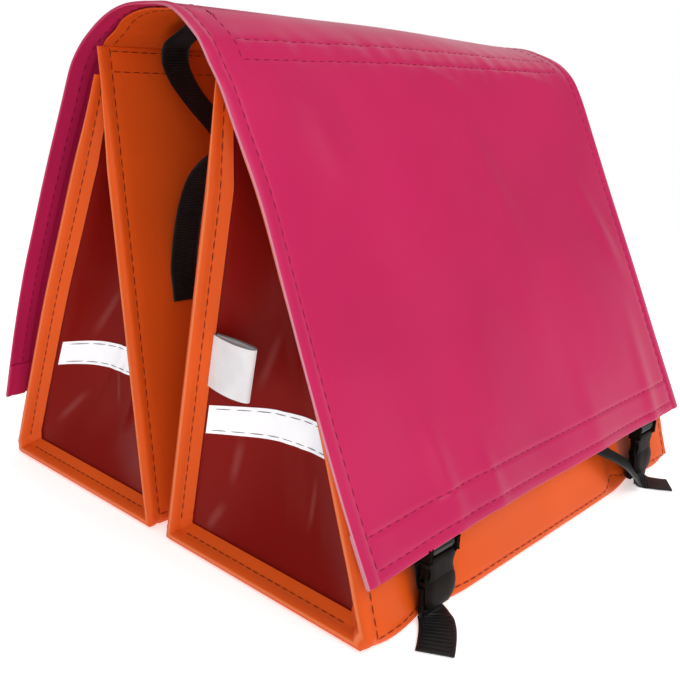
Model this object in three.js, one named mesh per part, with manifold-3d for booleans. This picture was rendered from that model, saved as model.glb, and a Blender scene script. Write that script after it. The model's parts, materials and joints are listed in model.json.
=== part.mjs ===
// A double bicycle pannier sewn from coated tarpaulin, standing as it does off the bicycle.
// Two wedge bags hang from a bridge that sits on the luggage rack, and one flap covers both.
// Millimetres, +Z up. X runs along the bicycle, the front bag is at -Y, and the floor is z = 0.
import * as THREE from 'three';
import { mergeVertices } from 'three/addons/utils/BufferGeometryUtils.js';
import Module from 'manifold-3d';

const wasm = await Module();
wasm.setup();

// Sheet goods: thicknesses, and the gap that neighbouring pieces keep
const TARP = 1.2;
const FLAP_THICKNESS = 1.6;
const TAPE_THICKNESS = 1;
const LABEL_THICKNESS = 1;
const WEBBING = { width: 25, thickness: 1.6 };
const GAP = 0.4;

// One bag, seen from its end: n is measured outwards from the plane between the bags
const BAG_LENGTH = 440;
const HALF_LENGTH = BAG_LENGTH / 2;
const INNER_FOOT = 8;
const OUTER_FOOT = 207;
const INNER_SLOPE = 0.157;
const OUTER_SLOPE = 0.41;
const MOUTH_Z = 328;
const INNER_TOP_Z = 348;
const OUTER_BILLOW = 5;
const INNER_BILLOW = 3;
const CORNER_SOFTNESS = 2.5;

// The flap hangs further over the left end, so the bags' middle stands to the right of the origin
const MIDDLE_X = 4;
const FLAP_SHIFT = -8;

// The wall's end, rolled over and sewn down on the gusset: depth into the bag, and back from the end plane
const SEAM = [
  { inset: 0, back: 10 },
  { inset: 0.8, back: 3 },
  { inset: 4, back: 0 },
  { inset: 7, back: 1.5 },
  { inset: 19, back: 13.5 },
];
const SEAM_EDGE = SEAM.at(-1);
const NARROW = { halfWidth: 6.5, share: 0.25 };
const FULL_WIDTH = { halfWidth: 24, share: 1 };
const GUSSET_TUCK = { inset: 8, back: 2.5 };
const GUSSET_BEHIND = 1.5;
const GUSSET_TOP_Z = 308;
const GUSSET_DISH = 28;
const DISH_POWER = 0.8;

// The flap: its section from the crest to the hem, which lies beyond the bags' ends
const FLAP_HALF_LENGTH = 220;
const FLAP_SECTION = [
  { n: 0, z: 380 },
  { n: 20, z: 378.6 },
  { n: 38, z: 373.4 },
  { n: 54, z: 364 },
  { n: 68, z: 350 },
  { n: 80, z: 331.5 },
  { n: 96, z: 300 },
  { n: 150, z: 192 },
  { n: 216, z: 60 },
];
const FLAP_HEM = FLAP_SECTION.at(-1);

// The bridge under the flap and its side flanges, sewn to the inner walls of the bags
const BRIDGE_HALF_LENGTH = 216;
const BRIDGE_ARCH_REACH = 44;
const BRIDGE_KINK_Z = 353;
const BRIDGE_FLANGE_FOOT_Z = 333;

// Reflective tape across each gusset, and the blank label loop on one of them
const TAPE = { middleZ: 103, height: 22 };
const LABEL = { footZ: 124, topZ: 168, side: -1, end: -1 };
const LABEL_LOOP = [
  { reach: 2, back: 12.2 },
  { reach: 18, back: 12.8 },
  { reach: 34, back: 11.6 },
  { reach: 44, back: 9.6 },
  { reach: 45.6, back: 7.6 },
  { reach: 43.6, back: 5.8 },
  { reach: 32, back: 4.4 },
  { reach: 16, back: 6.2 },
  { reach: 2, back: 9.6 },
];

// Closures: where each buckle hangs, how far its loose strap end sways along X, and how far along X
// its strap is sewn from it
const CLOSURES = [
  { name: 'front_left', side: -1, x: -154, sway: -12, sewnOff: 0 },
  { name: 'front_right', side: -1, x: 154, sway: 12, sewnOff: -44 },
  { name: 'back_left', side: 1, x: -154, sway: -12, sewnOff: 0 },
  { name: 'back_right', side: 1, x: 154, sway: 12, sewnOff: 0 },
];
const BUCKLE = {
  width: 33, thickness: 9.2, middleN: FLAP_HEM.n - 5.5, corner: 3, bevel: 0.8,
  windowWidth: 26.6, barTop: FLAP_HEM.z - 4.2, barFoot: FLAP_HEM.z - 7.8, windowFoot: FLAP_HEM.z - 11.7,
  mouthZ: FLAP_HEM.z - 32, barThickness: 3.2, socketWidth: 28, socketDepth: 5.2, socketTop: FLAP_HEM.z - 14.6,
  sideWindowFoot: FLAP_HEM.z - 27, sideWindowTop: FLAP_HEM.z - 17.5, sideWindowDepth: 4.6,
};
const PLUG = {
  width: 32, thickness: 4.2, foot: 7, shoulder: BUCKLE.mouthZ - 0.5, slotWidth: 26.6,
  lowerSlot: { foot: 11, top: 15.5 }, upperSlot: { foot: 19, top: 23.5 }, corner: 3.6,
  tongueHalf: 2.6, tongueTop: 42.5, armInner: 6.4, armOuter: 10.6, barbOuter: 15.2, barbFoot: 34, armTop: 44,
};

// Webbing routes, each a short table of points in the section (n outwards, z up)
const FLAP_LOOP_REACH = 34;
const BAR_CLEARANCE = 0.9;
const STRAP_PATCH = { topZ: 112, footZ: 84, standOff: 1.4 };
const STRAP_ROUTE = [
  { n: 192, z: 47 },
  { n: 200, z: 29 },
  { n: 205.5, z: 22.6 },
  { n: 210.5, z: 21 },
  { n: 213.6, z: 19.9 },
  { n: 214.4, z: 17.2 },
  { n: 213.6, z: 14.6 },
  { n: 210.5, z: 13.6 },
  { n: 207.3, z: 12.2 },
  { n: 206.6, z: 9 },
  { n: 207.6, z: 4.6 },
  { n: 211.5, z: 2.2 },
  { n: 218, z: 1.4 },
  { n: 227, z: 1.2 },
  { n: 237, z: 1.2 },
];
const STRAP_LIES_FROM_Z = 9;
const RACK_LOOP_X = 168;
const RACK_LOOP_PATCH = { topZ: 194, footZ: 170, bridgeFrom: -24, bridgeTo: 2 };
const RACK_LOOP_ROUTE = [
  { n: 33, z: 363 },
  { n: 44, z: 356 },
  { n: 45.5, z: 345 },
  { n: 36, z: 331 },
  { n: 16, z: 315 },
  { n: -9, z: 298 },
  { n: -14.5, z: 291.5 },
  { n: -9, z: 286.5 },
  { n: 5, z: 277 },
  { n: 16, z: 266 },
  { n: 28, z: 240 },
];

const FINISHES = {
  flap: { color: 0xc92a5f, roughness: 0.35 },
  shell: { color: 0xd9491d, roughness: 0.4 },
  gusset: { color: 0x7d140f, roughness: 0.35 },
  tape: { color: 0xe9ebee, roughness: 0.3 },
  label: { color: 0xe6e1e2, roughness: 0.7 },
  webbing: { color: 0x0b0b0c, roughness: 0.85 },
  buckle: { color: 0x191716, roughness: 0.4 },
};

const pannier = new THREE.Group();

function addPiece(name, finish, geometry) {
  const material = new THREE.MeshStandardMaterial({ ...FINISHES[finish], metalness: 0 });
  const mesh = new THREE.Mesh(geometry, material);
  mesh.name = name;
  pannier.add(mesh);
}

// The section's frame: x along the bags from their middle, on one side (-1 front, +1 back)
const place = (side, x, n, z) => new THREE.Vector3(x + MIDDLE_X, side * n, z);

const innerWallAt = (z) => INNER_FOOT + INNER_SLOPE * z;
const outerWallAt = (z) => OUTER_FOOT - OUTER_SLOPE * z;
const halfWidthAt = (z) => (outerWallAt(z) - innerWallAt(z)) / 2;

function seamShareAt(z) {
  const { mapLinear, clamp } = THREE.MathUtils;
  const share = mapLinear(
    halfWidthAt(z), NARROW.halfWidth, FULL_WIDTH.halfWidth, NARROW.share, FULL_WIDTH.share);
  return clamp(share, NARROW.share, FULL_WIDTH.share);
}

// A solid's shared vertices are merged and its faces turned outwards
function closedSolid(geometry) {
  geometry.deleteAttribute('normal');
  geometry.deleteAttribute('uv');
  const merged = mergeVertices(geometry, 1e-4);
  const position = merged.getAttribute('position');
  const corner = (i) => new THREE.Vector3().fromBufferAttribute(position, merged.index.getX(i));
  let volume = 0;
  for (let i = 0; i < merged.index.count; i += 3) {
    volume += corner(i).dot(corner(i + 1).cross(corner(i + 2)));
  }
  if (volume < 0) merged.index.array.reverse();
  merged.computeVertexNormals();
  return merged;
}

// Both faces of a lattice share one diagonal in each cell, so that a crease lies along it
function setDiagonals(box, columns, rows, rises) {
  const index = box.index.array;
  for (const group of box.groups.slice(4)) {
    const isBack = group.materialIndex === 5;
    for (let cell = 0; cell < columns * rows; cell += 1) {
      const column = cell % columns;
      const row = rows - 1 - Math.floor(cell / columns);
      const start = group.start + 6 * cell;
      const [a, b, d, , c] = index.slice(start, start + 6);
      const across = isBack ? columns - 1 - column : column;
      if (rises(across, row) === isBack) index.set([a, b, c, a, c, d], start);
    }
  }
}

// A sheet: pointAt gives its middle surface for each column and row, and it is thickened along its normals
function sheet(columns, rows, thickness, pointAt, rises = () => true) {
  const points = columns.map((column) => rows.map((row) => pointAt(column, row)));
  const last = { column: columns.length - 1, row: rows.length - 1 };
  const near = (i, j) => points[Math.min(Math.max(i, 0), last.column)][Math.min(Math.max(j, 0), last.row)];
  const box = new THREE.BoxGeometry(1, 1, 1, last.column, last.row, 1);
  setDiagonals(box, last.column, last.row, rises);
  const position = box.getAttribute('position');
  for (let k = 0; k < position.count; k += 1) {
    const i = Math.round((position.getX(k) + 0.5) * last.column);
    const j = Math.round((position.getY(k) + 0.5) * last.row);
    const across = near(i + 1, j).clone().sub(near(i - 1, j));
    const along = near(i, j + 1).clone().sub(near(i, j - 1));
    const normal = across.cross(along).normalize();
    const point = near(i, j).clone().addScaledVector(normal, position.getZ(k) * thickness);
    position.setXYZ(k, point.x, point.y, point.z);
  }
  return closedSolid(box);
}

const evenly = (from, to, steps) =>
  Array.from({ length: steps + 1 }, (_, i) => from + ((to - from) * i) / steps);

// A bag's shell: outer wall, bottom and inner wall in one sheet, its ends rolled over the gussets
function shellRuns() {
  const floorZ = TARP / 2;
  const corners = [
    new THREE.Vector2(outerWallAt(MOUTH_Z), MOUTH_Z),
    new THREE.Vector2(OUTER_FOOT, floorZ),
    new THREE.Vector2(INNER_FOOT, floorZ),
    new THREE.Vector2(innerWallAt(INNER_TOP_Z), INNER_TOP_Z),
  ];
  const inwards = corners.slice(1).map((corner, k) => {
    const along = corner.clone().sub(corners[k]).normalize();
    return new THREE.Vector2(along.y, -along.x);
  });
  const mitre = (a, b) => a.clone().add(b).divideScalar(1 + a.dot(b));
  const level = (normal) => new THREE.Vector2(1 / normal.x, 0);
  const [outer, floor, inner] = inwards;
  const mitres = [level(outer), mitre(outer, floor), mitre(floor, inner), level(inner)];
  return { corners, mitres };
}

function shellRows() {
  const wallRow = (run, z, from, to) => ({ run, share: (z - from) / (to - from) });
  const outer = [MOUTH_Z, GUSSET_TOP_Z, 287, 266, 190, 100, 16].map((z) => wallRow(0, z, MOUTH_Z, 0));
  const floor = [0, 0.06, 0.5, 0.94].map((share) => ({ run: 1, share, isCorner: share === 0 }));
  const inner = [0, 16, 100, 190, 266, 287, GUSSET_TOP_Z, MOUTH_Z, INNER_TOP_Z].map((z) => wallRow(2, z, 0, INNER_TOP_Z));
  inner[0].isCorner = true;
  return [...outer, ...floor, ...inner];
}

function shellColumns() {
  const rolled = SEAM.map(({ inset, back }) => ({ inset, x: HALF_LENGTH - back, isSeam: true }));
  const wall = evenly(-140, 140, 4).map((x) => ({ inset: 0, x, isSeam: false }));
  const leftRolled = rolled.map((column) => ({ ...column, x: -column.x })).reverse();
  return [...leftRolled, ...wall, ...rolled];
}

const fullness = (x) => (1 - (x / (HALF_LENGTH - SEAM[0].back)) ** 2) ** 2;

function billowAt(run, share, x) {
  const most = [OUTER_BILLOW, 0, INNER_BILLOW][run];
  return most * Math.sin(Math.PI * share) ** 2 * fullness(x);
}

function bagShell(side) {
  const { corners, mitres } = shellRuns();
  const pointAt = (column, row) => {
    const onWall = corners[row.run].clone().lerp(corners[row.run + 1], row.share);
    const inwards = mitres[row.run].clone().lerp(mitres[row.run + 1], row.share);
    const rolled = column.inset * seamShareAt(onWall.y);
    const softened = Math.max(rolled, row.isCorner ? CORNER_SOFTNESS : 0);
    const inset = column.isSeam ? softened : softened - billowAt(row.run, row.share, column.x);
    const point = onWall.addScaledVector(inwards, inset);
    return place(side, column.x, point.x, point.y);
  };
  return sheet(shellColumns(), shellRows(), TARP, pointAt);
}

// A gusset: tucked under the rolled seam on three sides and dished into the bag
const GUSSET_COLUMNS = [
  { from: 'inner', ...GUSSET_TUCK },
  { from: 'inner', ...SEAM_EDGE },
  { across: -0.55 },
  { across: 0 },
  { across: 0.55 },
  { from: 'outer', ...SEAM_EDGE },
  { from: 'outer', ...GUSSET_TUCK },
];
const GUSSET_ROWS = [
  TARP / 2 + GUSSET_TUCK.inset - GUSSET_BEHIND, TARP / 2 + SEAM_EDGE.inset - GUSSET_BEHIND,
  56, TAPE.middleZ - 14, TAPE.middleZ + 14, 168, 220, 266, 287, GUSSET_TOP_Z,
];
const INNER_SECANT = Math.hypot(1, INNER_SLOPE);
const OUTER_SECANT = Math.hypot(1, OUTER_SLOPE);

function gussetInset(inset, z) {
  return inset * seamShareAt(z) - GUSSET_BEHIND;
}

function gussetEdges(z) {
  return {
    inner: innerWallAt(z) + gussetInset(SEAM_EDGE.inset, z) * INNER_SECANT,
    outer: outerWallAt(z) - gussetInset(SEAM_EDGE.inset, z) * OUTER_SECANT,
  };
}

function dishAt(z) {
  const rise = (z - GUSSET_ROWS[1]) / (GUSSET_TOP_Z - GUSSET_ROWS[1]);
  return GUSSET_DISH * Math.max(rise, 0) ** DISH_POWER;
}

// Where a gusset column lies at a level: outwards from the middle plane, and back from the end plane
function gussetSection(column, z) {
  const edges = gussetEdges(z);
  const edgeBack = SEAM_EDGE.back + GUSSET_BEHIND;
  const tuckBack = GUSSET_TUCK.back + GUSSET_BEHIND;
  const floorBack = z < GUSSET_ROWS[1] ? tuckBack : Infinity;
  if (column.from === undefined) {
    const n = THREE.MathUtils.mapLinear(column.across, -1, 1, edges.inner, edges.outer);
    const dished = edgeBack + dishAt(z) * Math.cos((Math.PI / 2) * column.across);
    return { n, back: Math.min(dished, floorBack) };
  }
  const inset = gussetInset(column.inset, z);
  const n = column.from === 'inner'
    ? innerWallAt(z) + inset * INNER_SECANT
    : outerWallAt(z) - inset * OUTER_SECANT;
  return { n, back: Math.min(column.back + GUSSET_BEHIND, floorBack) };
}

function gussetPoint(side, end, column, z, lift = 0) {
  const { n, back } = gussetSection(column, z);
  return place(side, end * (HALF_LENGTH - back + lift), n, z);
}

function gusset(side, end) {
  const middle = (GUSSET_COLUMNS.length - 1) / 2;
  return sheet(GUSSET_COLUMNS, GUSSET_ROWS, TARP, (column, z) => gussetPoint(side, end, column, z),
    (column) => column < middle);
}

function reflectiveTape(side, end) {
  const lift = TARP / 2 + TAPE_THICKNESS / 2 + 1.5 * GAP;
  const columns = [-0.95, -0.55, 0, 0.55, 0.95].map((across) => ({ across }));
  const rows = [TAPE.middleZ - TAPE.height / 2, TAPE.middleZ + TAPE.height / 2];
  return sheet(columns, rows, TAPE_THICKNESS, (column, z) => gussetPoint(side, end, column, z, lift));
}

// A folded label, tucked beside the seam of the inner wall and standing off the gusset
function labelLoop() {
  const rows = [LABEL.footZ, LABEL.topZ];
  return sheet(LABEL_LOOP, rows, LABEL_THICKNESS, ({ reach, back }, z) =>
    place(LABEL.side, LABEL.end * (HALF_LENGTH - back), gussetEdges(z).inner + reach, z));
}

// The flap's section, mirrored into one curve from the front hem to the back hem
function flapCurve() {
  const half = FLAP_SECTION.map(({ n, z }) => new THREE.Vector3(0, n, z));
  const front = half.slice(1).map((p) => new THREE.Vector3(0, -p.y, p.z)).reverse();
  return new THREE.CatmullRomCurve3([...front, ...half], false, 'centripetal');
}

const FLAP_CURVE = flapCurve();
const FLAP_KNOTS = 2 * (FLAP_SECTION.length - 1);

// The share along the curve at which its knots lie, with finer steps where the section turns
function flapShares() {
  const turning = 5;
  const shares = [];
  for (let knot = 0; knot < FLAP_KNOTS; knot += 1) {
    const fromHem = Math.min(knot, FLAP_KNOTS - 1 - knot);
    const steps = fromHem < 2 ? 3 : turning - 2;
    for (let step = 0; step < steps; step += 1) shares.push((knot + step / steps) / FLAP_KNOTS);
  }
  return [...shares, 1];
}

function flapPoint(share, x, offset = 0) {
  const point = FLAP_CURVE.getPoint(share);
  const along = FLAP_CURVE.getTangent(share);
  return place(1, x, point.y - offset * along.z, point.z + offset * along.y);
}

function flap() {
  const columns = evenly(FLAP_SHIFT - FLAP_HALF_LENGTH, FLAP_SHIFT + FLAP_HALF_LENGTH, 8);
  return sheet(columns, flapShares(), FLAP_THICKNESS, (x, share) => flapPoint(share, x));
}

// The bridge follows the flap's underside over the rack, then turns down onto the inner walls
const BRIDGE_UNDER_FLAP = FLAP_THICKNESS / 2 + TARP / 2 + GAP;
const FLANGE_STAND_OFF = TARP + GAP;

function bridgeRows() {
  const arch = flapShares().filter((share) => Math.abs(FLAP_CURVE.getPoint(share).y) <= BRIDGE_ARCH_REACH);
  const flange = (side, z) => ({ side, z });
  return [
    flange(-1, BRIDGE_FLANGE_FOOT_Z), flange(-1, BRIDGE_KINK_Z - 3), flange(-1, BRIDGE_KINK_Z),
    ...arch.map((share) => ({ share })),
    flange(1, BRIDGE_KINK_Z), flange(1, BRIDGE_KINK_Z - 3), flange(1, BRIDGE_FLANGE_FOOT_Z),
  ];
}

function bridge() {
  const columns = evenly(-BRIDGE_HALF_LENGTH, BRIDGE_HALF_LENGTH, 4);
  return sheet(columns, bridgeRows(), TARP, (x, row) => (row.share === undefined
    ? place(row.side, x, innerWallAt(row.z) - FLANGE_STAND_OFF, row.z)
    : flapPoint(row.share, x, -BRIDGE_UNDER_FLAP)));
}

// Webbing: a ribbon along a smooth route through section points
function ribbon(side, middleX, route, steps, swayAt = () => 0) {
  const curve = new THREE.CatmullRomCurve3(
    route.map(({ n, z }) => new THREE.Vector3(0, n, z)), false, 'centripetal');
  const points = curve.getPoints(steps);
  const columns = [-WEBBING.width / 2, WEBBING.width / 2];
  return sheet(columns, points, WEBBING.thickness, (across, { y, z }) =>
    place(side, middleX + across + swayAt(y, z), y, z));
}

// The loop on the flap's underside that carries the buckle's socket
function flapLoopRoute() {
  const above = FLAP_SECTION.at(-2);
  const up = new THREE.Vector2(above.n - FLAP_HEM.n, above.z - FLAP_HEM.z).normalize();
  const under = new THREE.Vector2(-up.y, up.x);
  const firstLayer = FLAP_THICKNESS / 2 + WEBBING.thickness / 2 + GAP;
  const secondLayer = firstLayer + WEBBING.thickness + GAP;
  const onFlap = (reach, depth) => ({
    n: FLAP_HEM.n + reach * up.x + depth * under.x,
    z: FLAP_HEM.z + reach * up.y + depth * under.y,
  });
  const barMiddleZ = (BUCKLE.barTop + BUCKLE.barFoot) / 2;
  const turn = BUCKLE.barThickness / 2 + BAR_CLEARANCE + WEBBING.thickness / 2;
  const drop = BUCKLE.barFoot - BAR_CLEARANCE - WEBBING.thickness / 2;
  return [
    onFlap(FLAP_LOOP_REACH, firstLayer),
    onFlap(10, firstLayer),
    onFlap(2, firstLayer),
    { n: BUCKLE.middleN + turn, z: barMiddleZ },
    { n: BUCKLE.middleN + turn - BAR_CLEARANCE / 2, z: drop + BAR_CLEARANCE },
    { n: BUCKLE.middleN, z: drop },
    { n: BUCKLE.middleN - turn + BAR_CLEARANCE / 2, z: drop + BAR_CLEARANCE },
    { n: BUCKLE.middleN - turn, z: barMiddleZ },
    onFlap(6, secondLayer + GAP),
    onFlap(14, secondLayer),
    onFlap(FLAP_LOOP_REACH, secondLayer),
  ];
}

// The strap sewn to the bag's wall: it threads the plug's two slots and its end lies on the floor
function bagStrap({ side, x, sway, sewnOff }) {
  const patchX = Math.min(Math.abs(x), Math.abs(x + sewnOff));
  const onWall = (z) => ({
    n: outerWallAt(z) + billowAt(0, 1 - z / MOUTH_Z, patchX) + STRAP_PATCH.standOff
      + OUTER_SECANT * (TARP / 2 + WEBBING.thickness / 2),
    z,
  });
  const middleZ = (STRAP_PATCH.topZ + STRAP_PATCH.footZ) / 2;
  const route = [onWall(STRAP_PATCH.topZ), onWall(middleZ), onWall(STRAP_PATCH.footZ), ...STRAP_ROUTE];
  const end = STRAP_ROUTE.at(-1);
  const swayAt = (n, z) => (z > STRAP_LIES_FROM_Z || n < BUCKLE.middleN ? 0
    : sway * ((n - BUCKLE.middleN) / (end.n - BUCKLE.middleN)) ** 2);
  const sewnAt = (z) => sewnOff
    * THREE.MathUtils.smoothstep(z, PLUG.upperSlot.top + WEBBING.thickness, STRAP_PATCH.footZ);
  return ribbon(side, x, route, 48, (n, z) => swayAt(n, z) + sewnAt(z));
}

// A slack loop between the bridge and the back bag's inner wall, which ties down to the rack
function rackLoop(x) {
  const billow = INNER_BILLOW * fullness(Math.abs(x) - WEBBING.width / 2);
  const onWall = (z) => ({ n: innerWallAt(z) - TARP / 2 - WEBBING.thickness / 2 - billow - 2 * GAP, z });
  const underBridge = (n) => {
    const share = flapShares().find((s) => FLAP_CURVE.getPoint(s).y >= n);
    const point = FLAP_CURVE.getPoint(share);
    return { n: point.y, z: point.z - BRIDGE_UNDER_FLAP - TARP / 2 - WEBBING.thickness / 2 - 2 * GAP };
  };
  const { bridgeFrom, bridgeTo, topZ, footZ } = RACK_LOOP_PATCH;
  const route = [
    underBridge(bridgeFrom), underBridge((bridgeFrom + bridgeTo) / 2), underBridge(bridgeTo),
    ...RACK_LOOP_ROUTE,
    onWall(topZ), onWall((topZ + footZ) / 2), onWall(footZ),
  ];
  return ribbon(1, x, route, 44);
}

// Moulded pieces: shapes drawn across (x) and up (z), and extruded through the buckle's thickness
const CUT_PAST = 1;

function toManifold(geometry) {
  const solid = closedSolid(geometry);
  return new wasm.Manifold(new wasm.Mesh({
    numProp: 3,
    vertProperties: new Float32Array(solid.getAttribute('position').array),
    triVerts: new Uint32Array(solid.index.array),
  }));
}

function fromManifold(solid) {
  const mesh = solid.getMesh();
  const geometry = new THREE.BufferGeometry();
  geometry.setAttribute('position', new THREE.BufferAttribute(mesh.vertProperties, 3));
  geometry.setIndex(new THREE.BufferAttribute(mesh.triVerts, 1));
  return geometry;
}

function roundedOutline(halfWidth, foot, top, radius) {
  const outline = new THREE.Shape();
  outline.moveTo(-halfWidth, foot + radius);
  outline.absarc(-halfWidth + radius, foot + radius, radius, Math.PI, 1.5 * Math.PI);
  outline.absarc(halfWidth - radius, foot + radius, radius, -Math.PI / 2, 0);
  outline.absarc(halfWidth - radius, top - radius, radius, 0, Math.PI / 2);
  outline.absarc(-halfWidth + radius, top - radius, radius, Math.PI / 2, Math.PI);
  return outline;
}

function slotHole(halfWidth, foot, top) {
  const hole = new THREE.Path();
  hole.moveTo(-halfWidth, foot);
  hole.lineTo(-halfWidth, top);
  hole.lineTo(halfWidth, top);
  hole.lineTo(halfWidth, foot);
  return hole;
}

function moulded(outline, thickness, bevel) {
  const geometry = new THREE.ExtrudeGeometry(outline, {
    depth: thickness - 2 * bevel, bevelEnabled: bevel > 0, bevelThickness: bevel, bevelSize: bevel,
    bevelOffset: -bevel, bevelSegments: 1, curveSegments: 3,
  });
  return geometry.translate(0, 0, bevel - thickness / 2);
}

const block = (width, foot, top, depth, across = 0, out = 0) =>
  new THREE.BoxGeometry(width, top - foot, depth).translate(across, (foot + top) / 2, out);

function buckleSocket() {
  const outline = roundedOutline(BUCKLE.width / 2, BUCKLE.mouthZ, BUCKLE.barTop, BUCKLE.corner);
  outline.holes.push(slotHole(BUCKLE.windowWidth / 2, BUCKLE.windowFoot, BUCKLE.barFoot));
  const socket = block(BUCKLE.socketWidth, BUCKLE.mouthZ - CUT_PAST, BUCKLE.socketTop, BUCKLE.socketDepth);
  const thinning = (BUCKLE.thickness - BUCKLE.barThickness) / 2;
  const thinnedFoot = BUCKLE.barFoot - CUT_PAST;
  const thinned = [-1, 1].map((face) => block(BUCKLE.windowWidth, thinnedFoot, BUCKLE.barTop + CUT_PAST,
    thinning + CUT_PAST, 0, (face * (BUCKLE.barThickness + thinning + CUT_PAST)) / 2));
  const sideWindows = [-1, 1].map((hand) => block(BUCKLE.sideWindowDepth * 2, BUCKLE.sideWindowFoot,
    BUCKLE.sideWindowTop, BUCKLE.thickness + CUT_PAST, (hand * BUCKLE.width) / 2));
  const cuts = [socket, ...thinned, ...sideWindows].map(toManifold);
  const body = toManifold(moulded(outline, BUCKLE.thickness, BUCKLE.bevel));
  return fromManifold(cuts.reduce((solid, cut) => solid.subtract(cut), body));
}

function bucklePlug() {
  const { width, foot, shoulder, corner } = PLUG;
  const half = width / 2;
  const outline = new THREE.Shape();
  outline.moveTo(-half, foot + corner);
  outline.absarc(-half + corner, foot + corner, corner, Math.PI, 1.5 * Math.PI);
  outline.absarc(half - corner, foot + corner, corner, -Math.PI / 2, 0);
  outline.lineTo(half, shoulder);
  outline.lineTo(PLUG.armOuter, shoulder);
  outline.lineTo(PLUG.armOuter, PLUG.barbFoot);
  outline.lineTo(PLUG.barbOuter, PLUG.barbFoot + 0.5);
  outline.lineTo(PLUG.armOuter, PLUG.armTop);
  outline.lineTo(PLUG.armInner, PLUG.armTop);
  outline.lineTo(PLUG.armInner, shoulder);
  outline.lineTo(PLUG.tongueHalf, shoulder);
  outline.lineTo(PLUG.tongueHalf, PLUG.tongueTop);
  outline.lineTo(-PLUG.tongueHalf, PLUG.tongueTop);
  outline.lineTo(-PLUG.tongueHalf, shoulder);
  outline.lineTo(-PLUG.armInner, shoulder);
  outline.lineTo(-PLUG.armInner, PLUG.armTop);
  outline.lineTo(-PLUG.armOuter, PLUG.armTop);
  outline.lineTo(-PLUG.barbOuter, PLUG.barbFoot + 0.5);
  outline.lineTo(-PLUG.armOuter, PLUG.barbFoot);
  outline.lineTo(-PLUG.armOuter, shoulder);
  outline.lineTo(-half, shoulder);
  for (const slot of [PLUG.lowerSlot, PLUG.upperSlot]) {
    outline.holes.push(slotHole(PLUG.slotWidth / 2, slot.foot, slot.top));
  }
  return closedSolid(moulded(outline, PLUG.thickness, 0));
}

// Stands a moulded piece upright at its closure, its face turned outwards
function atClosure(geometry, { side, x }) {
  const placed = geometry.clone();
  const position = placed.getAttribute('position');
  for (let k = 0; k < position.count; k += 1) {
    const n = BUCKLE.middleN + position.getZ(k);
    const point = place(side, x - side * position.getX(k), n, position.getY(k));
    position.setXYZ(k, point.x, point.y, point.z);
  }
  return closedSolid(placed);
}

const SIDES = [{ name: 'front', side: -1 }, { name: 'back', side: 1 }];
const ENDS = [{ name: 'left', end: -1 }, { name: 'right', end: 1 }];

addPiece('flap', 'flap', flap());
addPiece('bridge', 'shell', bridge());
for (const { name, side } of SIDES) {
  addPiece(`${name}_bag_shell`, 'shell', bagShell(side));
  for (const { name: endName, end } of ENDS) {
    addPiece(`${name}_${endName}_gusset`, 'gusset', gusset(side, end));
    addPiece(`${name}_${endName}_reflective_tape`, 'tape', reflectiveTape(side, end));
  }
}
addPiece('label', 'label', labelLoop());
for (const { name, end } of ENDS) {
  addPiece(`${name}_rack_loop`, 'webbing', rackLoop(end * RACK_LOOP_X));
}
const socketForm = buckleSocket();
const plugForm = bucklePlug();
for (const closure of CLOSURES) {
  addPiece(`${closure.name}_flap_loop`, 'webbing', ribbon(closure.side, closure.x, flapLoopRoute(), 22));
  addPiece(`${closure.name}_bag_strap`, 'webbing', bagStrap(closure));
  addPiece(`${closure.name}_buckle_socket`, 'buckle', atClosure(socketForm, closure));
  addPiece(`${closure.name}_buckle_plug`, 'buckle', atClosure(plugForm, closure));
}

export default pannier;
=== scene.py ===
"""A double bicycle pannier sewn from coated tarpaulin: two wedge bags on a bridge, under one flap.

Metres, +Z up. X runs along the bicycle, the front bag is at -Y, and the floor is z = 0. A section point
(n, z) lies n outwards from the plane between the bags. x is measured from the bags' middle.
"""

import json
import math
from bisect import bisect_right
from functools import cache

import bmesh
import bpy
from bpy.props import FloatProperty, FloatVectorProperty, PointerProperty
from mathutils import Matrix, Vector, noise


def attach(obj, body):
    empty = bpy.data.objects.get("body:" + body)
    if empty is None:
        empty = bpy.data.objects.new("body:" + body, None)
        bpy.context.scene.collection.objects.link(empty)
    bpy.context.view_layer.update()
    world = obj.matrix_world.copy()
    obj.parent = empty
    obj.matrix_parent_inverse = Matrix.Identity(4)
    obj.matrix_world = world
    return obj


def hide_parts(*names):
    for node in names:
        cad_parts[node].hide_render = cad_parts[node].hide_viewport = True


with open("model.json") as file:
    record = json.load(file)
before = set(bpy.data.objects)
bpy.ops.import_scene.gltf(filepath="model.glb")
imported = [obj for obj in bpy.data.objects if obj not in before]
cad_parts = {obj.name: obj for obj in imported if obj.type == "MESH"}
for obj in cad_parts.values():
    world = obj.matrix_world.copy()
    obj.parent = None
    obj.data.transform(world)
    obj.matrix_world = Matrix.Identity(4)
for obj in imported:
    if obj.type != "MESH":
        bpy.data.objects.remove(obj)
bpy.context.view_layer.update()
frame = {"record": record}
RECORD_COLOURS = {row["slot"]: row["base_color"] for row in frame["record"]["materials"]}

bl_info = {
    "name": "Double bicycle pannier",
    "version": (1, 0, 0),
    "blender": (4, 5, 0),
    "location": "View3D > Sidebar > Pannier",
    "description": "Builds a double bicycle pannier with its sewing, materials and a studio stage",
    "category": "Add Mesh",
}

MM = 0.001
FRONT, BACK = -1, 1
SIDES = {"front": FRONT, "back": BACK}
ENDS = {"left": -1, "right": 1}

# Routes and sections are in millimetres; this is the flap's from the crest to the hem
FLAP_SECTION = ((0, 380), (20, 378.6), (38, 373.4), (54, 364), (68, 350), (80, 331.5), (96, 300),
                (150, 192), (216, 60))
# The folded label: reach from the seam, and back from the bag's end
LABEL_LOOP = ((2, 12.2), (18, 12.8), (34, 11.6), (44, 9.6), (45.6, 7.6), (43.6, 5.8), (32, 4.4), (16, 6.2),
              (2, 9.6))
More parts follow.
